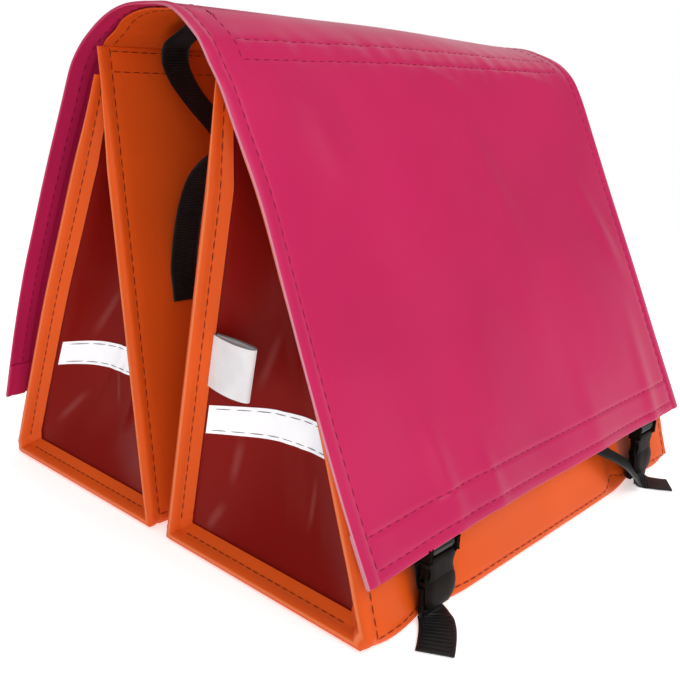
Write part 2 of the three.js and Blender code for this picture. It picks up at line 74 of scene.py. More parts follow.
# A bag strap after it leaves the wall: through the plug's two slots and out onto the floor
STRAP_ROUTE = ((205.5, 22.6), (210.5, 21), (213.6, 19.9), (214.4, 17.2), (213.6, 14.6),
               (210.5, 13.6), (207.3, 12.2), (206.6, 9), (207.6, 4.6), (211.5, 2.3), (218, 1.5), (227, 1.35),
               (237, 1.35))
# The slanting strap folds up behind the plug, passes its lower slot and ends on the floor
SLANT_ROUTE = ((206, 6.5), (206, 10.6), (207.6, 13.2), (210.5, 13.5), (213.3, 12.4), (213.9, 10),
               (214.1, 6.6), (215.8, 3.4), (219.5, 1.9), (227, 1.4), (237, 1.35))
# Its end above the floor, the turn of its face, and how far that holds it off the wall
SLANT_FOOT = 10.6
SLANT_TURN = 0.78
SLANT_CLEAR = 12 * MM
# A slack rack loop between the bridge and the back bag's inner wall
RACK_LOOP_ROUTE = ((33, 363), (44, 356), (45.5, 345), (36, 331), (16, 315), (-9, 298), (-14.5, 291.5),
                   (-9, 286.5), (5, 277), (16, 266), (28, 240))
RACK_LOOP_X = 168
CLOSURE_X = 154
# Closures: side, x of the buckle, sway of the loose end, and how far off along x the strap is sewn
CLOSURES = {
    "front_left": (FRONT, -CLOSURE_X, -34, 0),
    "front_right": (FRONT, CLOSURE_X, 14, -100),
    "back_left": (BACK, -CLOSURE_X, -12, 0),
    "back_right": (BACK, CLOSURE_X, 12, 0),
}


def size(name, description, millimetres):
    return FloatProperty(name=name, description=description, default=millimetres * MM, min=0.0,
                         unit="LENGTH", precision=5)


def factor(name, description, default):
    return FloatProperty(name=name, description=description, default=default, min=0.0, max=1.0,
                         subtype="FACTOR", precision=3)


def colour(name, description, default):
    return FloatVectorProperty(name=name, description=description, default=default, min=0.0, max=1.0,
                               size=3, subtype="COLOR")


class PannierSizes(bpy.types.PropertyGroup):
    """Sizes that the pannier's pieces share"""

    bag_length: size("Bag length", "Length of a bag along the bicycle", 440)
    middle: size("Bags' middle", "How far the bags' middle stands from the origin along x", 4)
    inner_foot: size("Inner foot", "Inner wall from the middle plane at the floor", 8)
    outer_foot: size("Outer foot", "Outer wall from the middle plane at the floor", 207)
    inner_slope: factor("Inner slope", "How fast the inner wall leaves the middle plane with height", 0.157)
    outer_slope: factor("Outer slope", "How fast the outer wall nears the middle plane with height", 0.41)
    front_mouth: size("Front mouth", "Top of the front bag's outer wall", 328)
    back_mouth: size("Back mouth", "Top of the back bag's outer wall", 334)
    front_inner_top: size("Front inner top", "Top of the front bag's inner wall", 341)
    back_inner_top: size("Back inner top", "Top of the back bag's inner wall", 353)
    cloth: size("Bag cloth", "Thickness of the bags' tarpaulin", 1.2)
    flap_cloth: size("Flap cloth", "Thickness of one layer of the flap", 0.9)
    flap_length: size("Flap length", "Length of the flap along the bicycle", 440)
    flap_shift: size("Flap shift", "How far the flap is shifted to the left of the bags", 8)
    side_hem: size("Side hem", "Width that is folded under at the flap's sides", 17)
    end_hem: size("End hem", "Width that is folded under at the flap's lower edges", 32)
    gusset_top: size("Gusset top", "Top of a bag's end gussets", 308)
    gusset_dish: size("Gusset dish", "How deep a gusset folds into the bag", 44)
    tape_middle: size("Tape level", "Middle of the reflective tapes above the floor", 103)
    tape_height: size("Tape height", "Height of a reflective tape", 22)
    label_foot: size("Label foot", "Lower edge of the label", 130.5)
    label_top: size("Label top", "Upper edge of the label", 169.5)
    webbing_width: size("Webbing width", "Width of the straps and loops", 25)
    webbing_thickness: size("Webbing thickness", "Thickness of the straps and loops", 1.6)
    rib_pitch: size("Rib pitch", "Distance between two ribs of the webbing", 2.2)
    buckle_width: size("Buckle width", "Width of a buckle", 33)
    stitch_pitch: size("Stitch pitch", "Distance between two stitches", 8.4)
    thread: size("Thread", "Thickness of the sewing thread", 0.75)


class PannierColours(bpy.types.PropertyGroup):
    """Base colours of the pannier's materials"""

    flap: colour("Flap", "Magenta tarpaulin of the flap", (0.464, 0.0135, 0.084))
    shell: colour("Shell", "Orange tarpaulin of the bags", (0.7, 0.09, 0.01))
    gusset: colour("Gusset", "Dark red tarpaulin of the gussets", (0.225, 0.0075, 0.005))
    tape: colour("Tape", "Silver white reflective tape", RECORD_COLOURS["reflective_tape"])
    label: colour("Label", "White woven ribbon of the label", RECORD_COLOURS["label_ribbon"])
    webbing: colour("Webbing", "Black webbing", RECORD_COLOURS["webbing"])
    buckle: colour("Buckle", "Dark moulded plastic", (0.006, 0.0042, 0.0034))
    flap_thread: colour("Flap thread", "Dark magenta sewing thread", (0.2, 0.006, 0.035))
    shell_thread: colour("Shell thread", "Dark red sewing thread", (0.17, 0.016, 0.007))
    tape_thread: colour("Tape thread", "Grey sewing thread", (0.24, 0.23, 0.24))
    floor: colour("Floor", "Pale studio floor", (0.9, 0.9, 0.9))


def sizes():
    return bpy.context.scene.pannier_sizes


def colours():
    return bpy.context.scene.pannier_colours


# Curves and steps


def share_of(low, high, value):
    return min(max((value - low) / (high - low), 0.0), 1.0)


def smoothstep(low, high, value):
    share = share_of(low, high, value)
    return share * share * (3 - 2 * share)


def bell(value, width):
    return math.exp(-((value / width) ** 2))


def hump(low, high, value):
    return math.sin(math.pi * share_of(low, high, value)) ** 2


def blended(before, start, stop, after, share):
    """A point between start and stop on the centripetal curve through four points."""
    first = (start - before).length ** 0.5
    second = first + (stop - start).length ** 0.5
    third = second + (after - stop).length ** 0.5
    at = first + (second - first) * share
    early = before.lerp(start, at / first)
    middle = start.lerp(stop, (at - first) / (second - first))
    late = stop.lerp(after, (at - second) / (third - second))
    return early.lerp(middle, at / second).lerp(
        middle.lerp(late, (at - first) / (third - first)), (at - first) / (second - first))


class Route:
    """A smooth curve through section points, measured along its length."""

    STEPS = 20

    def __init__(self, points):
        knots = [Vector(point) for point in points]
        knots = [2 * knots[0] - knots[1], *knots, 2 * knots[-1] - knots[-2]]
        self.points = [knots[1]]
        for before, start, stop, after in zip(knots, knots[1:], knots[2:], knots[3:]):
            for step in range(1, self.STEPS + 1):
                self.points.append(blended(before, start, stop, after, step / self.STEPS))
        self.lengths = [0.0]
        for start, stop in zip(self.points, self.points[1:]):
            self.lengths.append(self.lengths[-1] + (stop - start).length)
        self.length = self.lengths[-1]
        padded = [self.points[0], *self.points, self.points[-1]]
        self.directions = [(after - before).normalized() for before, after in zip(padded, padded[2:])]
        self.outwards = [point.x for point in self.points]

    def at(self, distance):
        """Point and direction at a distance from the start; beyond the ends the curve runs on straight."""
        last = len(self.points) - 1
        i = min(max(bisect_right(self.lengths, distance) - 1, 0), last - 1)
        share = (distance - self.lengths[i]) / (self.lengths[i + 1] - self.lengths[i])
        point = self.points[i].lerp(self.points[i + 1], share)
        along = self.directions[i].lerp(self.directions[i + 1], min(max(share, 0.0), 1.0))
        return point, along.normalized()

    def reach(self, n):
        """The distance at which a curve that runs outwards passes n."""
        i = min(max(bisect_right(self.outwards, n) - 1, 0), len(self.outwards) - 2)
        share = (n - self.outwards[i]) / (self.outwards[i + 1] - self.outwards[i])
        return self.lengths[i] + share * (self.lengths[i + 1] - self.lengths[i])

    def level(self, n):
        """The height of a curve that runs outwards at n."""
        return self.at(self.reach(n))[0].y


def path_length(points):
    points = list(points)
    return sum((stop - start).length for start, stop in zip(points, points[1:]))


def scaled(points):
    return [(first * MM, second * MM) for first, second in points]


def spread(start, stop, step):
    count = max(math.ceil(abs(stop - start) / step), 1)
    return [start + (stop - start) * i / count for i in range(count + 1)]


SEWN_STEPS = (-2.8 * MM, -1.3 * MM, 0.0, 1.3 * MM, 2.8 * MM)
LEAST_STEP = 1.2 * MM


def clear_of(stops, others):
    return [at for at in stops if all(abs(at - other) > LEAST_STEP for other in others)]


def stations(start, stop, step, lines=()):
    """Even steps from start to stop, with finer ones beside each sewn line."""
    fine = [line + beside for line in lines for beside in SEWN_STEPS]
    fine = [at for at in fine if start + MM < at < stop - MM]
    return sorted([start, stop, *fine, *clear_of(spread(start, stop, step)[1:-1], fine)])


# The bags' and the flap's shapes


def place(side, x, n, z):
    return Vector((x + sizes().middle, side * n, z))


def inner_wall(z):
    return sizes().inner_foot + sizes().inner_slope * z


def outer_wall(z):
    return sizes().outer_foot - sizes().outer_slope * z


def mouth(side):
    return sizes().front_mouth if side == FRONT else sizes().back_mouth


def inner_top(side):
    return sizes().front_inner_top if side == FRONT else sizes().back_inner_top


# How far the front wall stands out over a straight slope, by height
BELLY = Route(((0, 6.5), (12, 7.6), (29, 8.9), (42, 10.3), (64, 11.7), (92, 13.5), (125, 15.5), (160, 16.3),
               (214, 13.5), (267, 11), (300, 3.5), (328, 0), (360, 0)))


def belly(side, x, z):
    """How far an outer wall stands out; its bottom corners and the straps at the buckles hold it in."""
    corner = smoothstep(half_length() - 25 * MM, half_length(), abs(x))
    foot = 1 - (0.25 + 0.75 * corner) * (1 - smoothstep(0.0, 0.012, z))
    held = bell(abs(x) - CLOSURE_X * MM, 23 * MM) * (1 - smoothstep(0.05, 0.11, z))
    fullness = 1.0 if side == FRONT else 0.5
    return fullness * BELLY.level(z / MM) * foot * (1 - held) * MM


def half_length():
    return sizes().bag_length / 2


FLAP_ROUTE = Route(scaled([(-n, z) for n, z in FLAP_SECTION[:0:-1]] + list(FLAP_SECTION)))
SHOULDERS = tuple(FLAP_ROUTE.reach(n * MM) for n in (-66, -54.5, 54.5, 66))
SIDE_LINE = 10.5 * MM
HEM_LINES = (7 * MM, 27 * MM)
CREST_END_LINE = 27 * MM
GROOVE = 0.45 * MM
FOLD_DROP = 1.2 * MM
FLAP_STEP = 4.4 * MM


def flap_ends():
    middle = -sizes().flap_shift
    return middle - sizes().flap_length / 2, middle + sizes().flap_length / 2


def flap_side_lines():
    left, right = flap_ends()
    return left + SIDE_LINE, right - SIDE_LINE


def flap_cross_lines():
    hems = [at for line in HEM_LINES for at in (line, FLAP_ROUTE.length - line)]
    return [*hems, *SHOULDERS]


# How far the flap's near end stands out of the even section, by the distance from the crest
NEAR_BACK = Route(((0, 1), (20, 1.6), (45, 2.5), (62, 4), (80, 8), (95, 10.5), (115, 10.5), (170, 11),
                   (240, 9), (280, 7.6), (350, 1), (415, -9)))
NEAR_FRONT = Route(((0, 1), (23, 1.5), (45, -2), (60, -3), (78, -5.5), (95, -4.5), (115, -4), (165, -0.8),
                    (225, -2.8), (280, -4.5), (355, -5.6), (415, -3)))
# Soft upright folds above the front hem: x, half width and height
HEM_FOLDS = ((60, 14, 1.0), (163, 10, 1.8))
# Slanting folds on the front: two points (x, distance from the crest), half width and height
SLANT_FOLDS = (((-158, 92), (-140, 190), 16, 2.4), ((-20, 79), (28, 102), 5, 1.5),
               ((2, 118), (42, 220), 12, 2.0), ((110, 80), (184, 95), 5, 1.4),
               ((145, 165), (190, 285), 10, 1.8), ((-138, 318), (-133, 412), 9, 2.8),
               ((-92, 352), (-84, 416), 8, 1.8))


def slant_fold(x, away, fold):
    """How far a soft fold between two points stands out."""
    start, stop, width, height = fold
    start, stop = Vector(start) * MM, Vector(stop) * MM
    run = stop - start
    offset = Vector((x, away)) - start
    share = offset.dot(run) / run.length_squared
    beside = (offset - run * share).length
    return height * bell(beside, width * MM) * hump(-0.15, 1.15, share)


def flap_lift(x, distance):
    """How far the flap stands out of its even section: fuller at the back, pulled in at the seams."""
    left, right = flap_ends()
    from_crest = distance - FLAP_ROUTE.length / 2
    away = abs(from_crest)
    near = 1 - smoothstep(left, left + 0.2, x)
    far = smoothstep(-0.05, right, x)
    hem = smoothstep(0.27, 0.41, away)
    if from_crest > 0:
        lift = NEAR_BACK.level(away / MM)
        lift *= near if lift < 0 else near + 0.4 * (1 - near) * smoothstep(0.0, 0.07, away)
        lift -= 7 * far * (1 - smoothstep(0.0, 0.05, away))
    else:
        lift = NEAR_FRONT.level(away / MM) * near - 7 * far * (1 - smoothstep(0.03, 0.085, away))
        for middle, width, height in HEM_FOLDS:
            lift += height * hem * bell(x / MM - middle - 60 * (0.4 - away), width)
        lift += sum(slant_fold(x, away, fold) for fold in SLANT_FOLDS)
    slack = smoothstep(0.05, 0.16, away)
    lift += slack * 2.4 * noise.noise(Vector((x * 7.0, distance * 5.0, 1.7)))
    lift += slack * 0.9 * noise.noise(Vector((x * 19.0, distance * 9.0, 4.1)))
    lift += hem * 1.7 * math.sin(x * 31 + 1.1 * math.sin(x * 13)) * smoothstep(0.30, 0.41, away)
    for seam in SHOULDERS:
        pucker = noise.noise(Vector((x * 75.0, distance * 24.0, 2.3)))
        lift += 0.8 * pucker * bell(distance - seam, 13 * MM)
    start, stop = flap_side_lines()
    for line in flap_cross_lines():
        inset = CREST_END_LINE - SIDE_LINE if line in SHOULDERS else 0.0
        if start + inset < x < stop - inset:
            lift -= GROOVE / MM * bell(distance - line, 1.4 * MM)
    for line in (start, stop):
        lift -= GROOVE / MM * bell(x - line, 1.4 * MM)
    lift += 0.7 * (hump(left, start, x) + hump(stop, right, x))
    return lift * MM


def flap_frame(x, distance):
    """The middle of the flap's outer layer and the direction out of it."""
    left, _ = flap_ends()
    corner = (1 - smoothstep(left, left + 0.13, x)) * (1 - smoothstep(0, 0.09, distance))
    (n, z), (along_n, along_z) = FLAP_ROUTE.at(distance - 5.5 * MM * corner)
    outwards = Vector((0, -along_z, along_n))
    return place(1, x, n, z) + outwards * flap_lift(x, distance), outwards


def folded(start, stop, hem, drop, step, lines):
    """Stations across a sheet with both edges folded under: where each lies, and how far below the face."""
    radius = drop / 2
    turn = [math.radians(angle) for angle in (160, 135, 110, 90, 70, 45, 20)]
    low = [(at, drop) for at in reversed(stations(start + radius, start + hem, step))]
    low += [(start + radius * (1 - math.sin(a)), radius * (1 - math.cos(a))) for a in turn]
    middle = [(at, 0.0) for at in stations(start + radius, stop - radius, step, lines)]
    high = [(start + stop - at, below) for at, below in reversed(low)]
    return low + middle + high


# A bag's shell runs down the outer wall, along the bottom and up the inner wall
RUNS = range(3)
OUTER, BOTTOM, INNER = RUNS
SHELL_STEP = 5.5 * MM
ROLL_RADIUS = 3 * MM
FLANGE_EDGE = 15.5 * MM
FLANGE_LINE = 9.6 * MM
WALL_LINE = 7.6 * MM
BOTTOM_LINE = 10 * MM
CORNER_REACH = 8 * MM
CORNER_STEPS = (0.8 * MM, 2 * MM, 3.5 * MM, 5.5 * MM)
CORNER_SOFTNESS = 2.5 * MM
SEAM_END = 9 * MM
ROLLED_IN = 22 * MM


def shell_corners(side):
    """The section's corners, and at each the direction into the bag that its two walls share."""
    s = sizes()
    floor = s.cloth / 2
    corners = [Vector((outer_wall(mouth(side)), mouth(side))), Vector((s.outer_foot, floor)),
               Vector((s.inner_foot, floor)), Vector((inner_wall(inner_top(side)), inner_top(side)))]
    inwards = []
    for start, stop in zip(corners, corners[1:]):
        along = (stop - start).normalized()
        inwards.append(Vector((along.y, -along.x)))
    outer, bottom, inner = inwards
    mitres = [Vector((1 / outer.x, 0)), (outer + bottom) / (1 + outer.dot(bottom)),
              (bottom + inner) / (1 + bottom.dot(inner)), Vector((1 / inner.x, 0))]
    return corners, mitres


def shell_rows(side):
    """Rows round the section: the run, the share of it, and how far a bottom corner and a sewn line are."""
    corners, _ = shell_corners(side)
    rows = []
    for run in RUNS:
        length = (corners[run + 1] - corners[run]).length
        first, last, lines = {OUTER: (0.0, length - BOTTOM_LINE, [length - BOTTOM_LINE]),
                              BOTTOM: (CORNER_REACH, length - CORNER_REACH, []),
                              INNER: (BOTTOM_LINE, length, [BOTTOM_LINE])}[run]
        beside = [line + step for line in lines for step in SEWN_STEPS if step]
        stops = clear_of(stations(first, last, SHELL_STEP), beside) + beside
        if run != OUTER:
            stops += [0.0, *CORNER_STEPS]
        if run != INNER:
            stops += [length - at for at in CORNER_STEPS]
        for at in sorted(stops):
            corner = min(at if run != OUTER else math.inf, length - at if run != INNER else math.inf)
            sewn = min((abs(at - line) for line in lines), default=math.inf)
            rows.append((run, at / length, corner, sewn))
    return rows


def shell_columns():
    """Columns from one rolled end to the other: x, inset into the bag, and distance to a sewn line."""
    end = half_length()
    straight = FLANGE_EDGE - ROLL_RADIUS * (1 + math.sqrt(0.5))
    rolled = [(end - WALL_LINE + step, 0.0) for step in SEWN_STEPS]
    rolled += [(end - ROLL_RADIUS * (1 - math.sin(a)), ROLL_RADIUS * (1 - math.cos(a)))
               for a in [math.radians(angle) for angle in (0, 22, 45, 67, 90, 112, 135)]]
    x_turn, inset_turn = rolled[-1]
    for out in stations(0, straight, 2 * MM, [FLANGE_LINE - inset_turn])[1:]:
        rolled.append((x_turn - out, inset_turn + out))
    columns = []
    for x, inset in rolled:
        sewn = abs(x - (end - WALL_LINE)) if inset == 0 else abs(inset - FLANGE_LINE) * math.sqrt(2)
        puff = 1.1 * MM * hump(0.2 * ROLL_RADIUS, FLANGE_LINE, inset)
        columns.append((x + puff, inset + puff, sewn))
    wall_stop = end - WALL_LINE + SEWN_STEPS[0]
    wall = [(x, 0.0, math.inf) for x in stations(-wall_stop, wall_stop, SHELL_STEP)[1:-1]]
    return [(-x, inset, sewn) for x, inset, sewn in reversed(columns)] + wall + columns


def seam_share(z):
    """The rolled seam is narrower where the bag is narrow."""
    half_width = (outer_wall(z) - inner_wall(z)) / 2
    share = 0.25 + 0.75 * (half_width - 6.5 * MM) / (17.5 * MM)
    return min(max(share, 0.25), 1.0)


def billow(run, share, x):
    """How far a wall fills out between its edges."""
    fullness = max(1 - (x / (half_length() - 10 * MM)) ** 2, 0.0) ** 2
    return (2 * MM, 0.0, 3 * MM)[run] * math.sin(math.pi * share) ** 2 * fullness


def shell_dent(side, run, share, x):
    """Slack in the cloth: soft waves, and a dent beside the slanting strap on the front wall."""
    calm = smoothstep(half_length() - 14 * MM, half_length() - 60 * MM, abs(x))
    free = math.sin(math.pi * share_of(0.0, 1.0, share)) if run != BOTTOM else 0.0
    wave = 1.6 * noise.noise(Vector((x * 9, share * 3.2 + 5 * run, 3.0 * side)))
    wave += 0.7 * noise.noise(Vector((x * 24, share * 8 + 5 * run, 3.0 * side)))
    dent = 0.0
    if side == FRONT and run == OUTER:
        low = smoothstep(0.78, 0.95, share) * (1 - smoothstep(0.975, 1.0, share))
        dent = 5 * low * bell(x - 116 * MM, 14 * MM)
        wave += 0.8 * low * noise.noise(Vector((x * 30, share * 14, 8.0)))
    return (wave * calm * free + dent) * MM


def shell_point(side, column, row):
    x, inset, column_sewn = column
    run, share, corner, row_sewn = row
    corners, mitres = SHELL[side][run]
    on_wall = corners[0].lerp(corners[1], share)
    if run != INNER:
        on_wall.x += belly(side, x, on_wall.y) * (1 if run == OUTER else (1 - share) ** 2)
    inwards = mitres[0].lerp(mitres[1], share)
    rolled = inset * seam_share(on_wall.y)
    soft = CORNER_SOFTNESS * max(1 - corner / CORNER_REACH, 0.0) ** 2
    depth = max(rolled, soft) if inset else soft - billow(run, share, x) + shell_dent(side, run, share, x)
    groove = GROOVE * max(1.3 * bell(column_sewn, 1.7 * MM), bell(row_sewn, 1.5 * MM))
    depth += -groove if inset else groove
    point = on_wall + inwards * depth
    return place(side, x, point.x, point.y)


# Corners and mitres of each bag's runs, worked out before its points
SHELL = {}


def prepare_shells():
    for side in SIDES.values():
        corners, mitres = shell_corners(side)
        SHELL[side] = [(corners[run:run + 2], mitres[run:run + 2]) for run in RUNS]


# A gusset is tucked under the rolled seam on three sides and dished into the bag
TUCK_INSET = 8 * MM
TUCK_BACK = 2.5 * MM
BEHIND_SEAM = 1.5 * MM
FLANGE_BACK = 11.3 * MM
DISH_RISE = 55 * MM
TAPE_LIFT = 1.3 * MM
TAPE_THICKNESS = 0.6 * MM
TAPE_LINE = 2.6 * MM
TAPE_SEWN = 0.94
TAPE_PITCH = 11 * MM
LABEL_THICKNESS = 0.8 * MM


def gusset_foot(inset):
    return sizes().cloth / 2 + inset - BEHIND_SEAM


def gusset_edges(side, z, inset=FLANGE_EDGE):
    s = sizes()
    depth = inset * seam_share(z) - BEHIND_SEAM
    return (inner_wall(z) + depth * math.hypot(1, s.inner_slope),
            outer_wall(z) + belly(side, half_length(), z) - depth * math.hypot(1, s.outer_slope))


def gusset_crease(side, end, across, z):
    """Faint slanting creases of the folded end."""
    free = 1 - across * across
    slant = noise.noise(Vector((across * 3.2 + z * 9, z * 5 - across * 1.1, 5.0 * side + 2.0 * end)))
    fine = noise.noise(Vector((across * 9 + z * 30, z * 7 - across * 2, 7.0 * side + 3.0 * end)))
    return (1.8 * slant + 0.8 * fine) * free * smoothstep(20 * MM, 60 * MM, z) * MM


def gusset_point(side, end, across, z, lift=0.0):
    """across runs from -1 at the inner seam to 1 at the outer seam; beyond them the cloth is tucked."""
    inner, outer = gusset_edges(side, z)
    tuck_inner, tuck_outer = gusset_edges(side, z, TUCK_INSET)
    edge_back, tuck_back = FLANGE_BACK + BEHIND_SEAM, TUCK_BACK + BEHIND_SEAM
    rise = (z - gusset_foot(FLANGE_EDGE)) / DISH_RISE
    if abs(across) <= 1:
        n = inner + (outer - inner) * (across + 1) / 2
        shape = math.cos(math.pi / 2 * across) if across < 0 else 1 - across ** 4
        dish = sizes().gusset_dish * (1 - math.exp(-max(rise, 0.0))) * shape
        back = edge_back + dish + gusset_crease(side, end, across, z)
    else:
        n = tuck_inner if across < 0 else tuck_outer
        back = tuck_back
    if rise < 0:
        back = min(back, tuck_back + (edge_back - tuck_back) * max(1 + rise * 5, 0.0))
    return place(side, end * (half_length() - back + lift), n, z)


# Pieces


def lattice(columns, rows, point_at):
    """A grid whose vertex in each column and row is moved to point_at(column, row)."""
    bm = bmesh.new()
    across, along = len(columns) - 1, len(rows) - 1
    bmesh.ops.create_grid(bm, x_segments=across, y_segments=along, size=0.5)
    for vertex in bm.verts:
        column = columns[round((vertex.co.x + 0.5) * across)]
        row = rows[round((vertex.co.y + 0.5) * along)]
        vertex.co = point_at(column, row)
    return bm


def thickened(bm, thickness):
    """Gives a sheet its thickness, half to each side."""
    bm.normal_update()
    for vertex in bm.verts:
        vertex.co += vertex.normal * (thickness / 2)
    bmesh.ops.solidify(bm, geom=bm.faces[:], thickness=thickness)
    bmesh.ops.recalc_face_normals(bm, faces=bm.faces[:])
    return bm


def add_piece(name, node, bm, material, sharp=50):
    """Makes a piece of the finished mesh and binds it to the frame."""
    mesh = bpy.data.meshes.new(name)
    bm.to_mesh(mesh)
    bm.free()
    if not mesh.polygons:
        raise RuntimeError(f"{name} has no faces")
    mesh.shade_smooth()
    mesh.set_sharp_from_angle(angle=math.radians(sharp))
    mesh.materials.append(material)
    piece = bpy.data.objects.new(name, mesh)
    bpy.context.scene.collection.objects.link(piece)
    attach(piece, "root")
    if node:
        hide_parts(node)
    return piece


def band_profile():
    """The webbing's section once round: across, out of its middle, and how strongly its ribs show."""
    half, thick = sizes().webbing_width / 2, sizes().webbing_thickness / 2
    face = [(-half + 0.7 * MM, 0.55, 0.0), (-half + 2 * MM, 0.85, 0.3), (-half + 3.2 * MM, 0.9, 1.0)]
    face += [(at, 0.9, 1.0) for at in spread(-half + 6 * MM, half - 6 * MM, 5 * MM)]
    face += [(-at, out, ribs) for at, out, ribs in reversed(face[:3])]
    upper = [(at, out * thick, ribs) for at, out, ribs in face]
    lower = [(-at, -out, ribs) for at, out, ribs in upper]
    return [(-half, 0.0, 0.0), *upper, (half, 0.0, 0.0), *lower, (-half, 0.0, 0.0)]


def merge(bm, part):
    """Move a part's faces into bm."""
    made = bpy.data.meshes.new("part")
    part.to_mesh(made)
    part.free()
    bm.from_mesh(made)
    bpy.data.meshes.remove(made)


def band(side, route, x_at, turn_at=None):
    """Webbing along a route, ribbed across its face, with plain edges; turn_at(z) twists its face upwards."""
    pitch = sizes().rib_pitch
    rows = spread(0.0, route.length, pitch / 4)

    def middle(distance):
        (n, z), _ = route.at(distance)
        return place(side, x_at(n, z), n, z)

    frames = {}
    for distance in rows:
        along = (middle(distance + 0.5 * MM) - middle(distance - 0.5 * MM)).normalized()
        _, (along_n, along_z) = route.at(distance)
        out = Vector((0, -side * along_z, along_n))
        across = along.cross(out).normalized()
        up = across.cross(along)
        centre = middle(distance)
        turn = turn_at(centre.z) if turn_at else 0.0
        frames[distance] = (centre, across * math.cos(turn) + up * math.sin(turn),
                            up * math.cos(turn) - across * math.sin(turn))

    def point(column, distance):
        over, out, ribs = column
        centre, across, up = frames[distance]
        rib = 1 + 0.45 * ribs * math.cos(2 * math.pi * distance / pitch)
        return centre + across * over + up * (out * rib)

    bm = lattice(band_profile(), rows, point)
    bmesh.ops.remove_doubles(bm, verts=bm.verts[:], dist=0.01 * MM)
    bmesh.ops.holes_fill(bm, edges=[edge for edge in bm.edges if edge.is_boundary], sides=0)
    bmesh.ops.recalc_face_normals(bm, faces=bm.faces[:])
    return bm


# Materials


class Surface:
    """A principled material whose patterns follow the object's own coordinates."""

    def __init__(self, name, colour, roughness, specular=0.5):
        self.material = bpy.data.materials.new(name)
        self.material.use_nodes = True
        self.nodes = self.material.node_tree.nodes
        self.links = self.material.node_tree.links
        self.shader = self.nodes["Principled BSDF"]
        self.fix({"Base Color": (*colour, 1), "Roughness": roughness, "Specular IOR Level": specular})
        self.coordinates = self.nodes.new("ShaderNodeTexCoord").outputs["Object"]

    def fix(self, values):
        for name, value in values.items():
            self.shader.inputs[name].default_value = value

    def add(self, kind, linked, fixed=None, **settings):
        """A new node with its settings and its linked and fixed inputs."""
        node = self.nodes.new(f"ShaderNode{kind}")
        for name, value in settings.items():
            setattr(node, name, value)
        for name, value in (fixed or {}).items():
            node.inputs[name].default_value = value
        for name, source in linked.items():
            self.links.new(source, node.inputs[name])
        return node

    def part(self, axis):
        return self.add("SeparateXYZ", {"Vector": self.coordinates}).outputs[axis]

    def times(self, first, second):
        return self.add("Math", {0: first, 1: second}, operation="MULTIPLY").outputs["Value"]

    def along(self, direction):
        """How far a point lies along a direction."""
        product = self.add("VectorMath", {0: self.coordinates}, {1: direction}, operation="DOT_PRODUCT")
        return product.outputs["Value"]

    def streak(self, start, stop, width, strength):
        """A thin line between two points (y, z) that fades at its edges and ends."""
        start, stop = (Vector((0, *point)) * MM for point in (start, stop))
        run = (stop - start).normalized()
        beside = Vector((0, -run.z, run.y))
        middle, low, high = beside.dot(start), run.dot(start), run.dot(stop)
        fade = 0.4 * (high - low)
        edges = self.times(self.ranged(self.along(beside), middle - width, middle, 0.0, 1.0),
                           self.ranged(self.along(beside), middle, middle + width, 1.0, 0.0))
        ends = self.times(self.ranged(self.along(run), low, low + fade, 0.0, strength),
                          self.ranged(self.along(run), high - fade, high, 1.0, 0.0))
        return self.times(edges, ends)

    def noise(self, scale, detail, stretch=(1, 1, 1)):
        stretched = self.add("Mapping", {"Vector": self.coordinates}, {"Scale": stretch}).outputs["Vector"]
        return self.add("TexNoise", {"Vector": stretched}, {"Scale": scale, "Detail": detail}).outputs["Fac"]

    def bands(self, direction, scale):
        fixed = {"Scale": scale, "Distortion": 0.4}
        wave = self.add("TexWave", {"Vector": self.coordinates}, fixed, bands_direction=direction)
        return wave.outputs["Fac"]

    def mottle(self, pattern, dark, light):
        """The base colour varies between two colours with a pattern."""
        self.shader.inputs["Base Color"].default_value = (*dark, 1)
        self.overlay(self.ranged(pattern, 0.3, 0.7, 0.0, 1.0), light)

    def overlay(self, pattern, colour):
        """Lays another colour over the base colour where the pattern is strong."""
        base = self.shader.inputs["Base Color"]
        mix = self.add("Mix", {"Factor": pattern}, data_type="RGBA")
        under, over = [socket for socket in mix.inputs if socket.type == "RGBA"]
        over.default_value = (*colour, 1)
        if base.is_linked:
            self.links.new(base.links[0].from_socket, under)
        else:
            under.default_value = base.default_value
        result = [socket for socket in mix.outputs if socket.type == "RGBA"][0]
        self.links.new(result, base)

    def ranged(self, pattern, low, high, to_low, to_high):
        fixed = {"From Min": low, "From Max": high, "To Min": to_low, "To Max": to_high}
        ranging = self.add("MapRange", {"Value": pattern}, fixed, interpolation_type="SMOOTHSTEP")
        return ranging.outputs["Result"]

    def rough(self, pattern, low, high):
        self.links.new(self.ranged(pattern, 0.3, 0.7, low, high), self.shader.inputs["Roughness"])

    def bump(self, pattern, strength, depth):
        """Adds relief; each call goes over the one before."""
        bump = self.add("Bump", {"Height": pattern}, {"Strength": strength, "Distance": depth})
        normal = self.shader.inputs["Normal"]
        if normal.is_linked:
            self.links.new(normal.links[0].from_socket, bump.inputs["Normal"])
        self.links.new(bump.outputs["Normal"], normal)


def shade(colour, times):
    return tuple(min(channel * times, 1.0) for channel in colour)


def tarpaulin(name, colour, low, high, specular):
    """Coated cloth: colour and gloss that vary softly, a faint woven grid and shallow unevenness."""
    surface = Surface(name, colour, low, specular)
    surface.mottle(surface.noise(7, 2), shade(colour, 0.93), shade(colour, 1.05))
    for direction in "XZ":
        weave = surface.ranged(surface.bands(direction, 190), 0.0, 1.0, 0.0, 0.06)
        surface.overlay(weave, shade(colour, 0.8))
    surface.rough(surface.noise(12, 2), low, high)
    surface.bump(surface.noise(15, 1), 0.16, 1.5 * MM)
    return surface


# Shared materials are made once


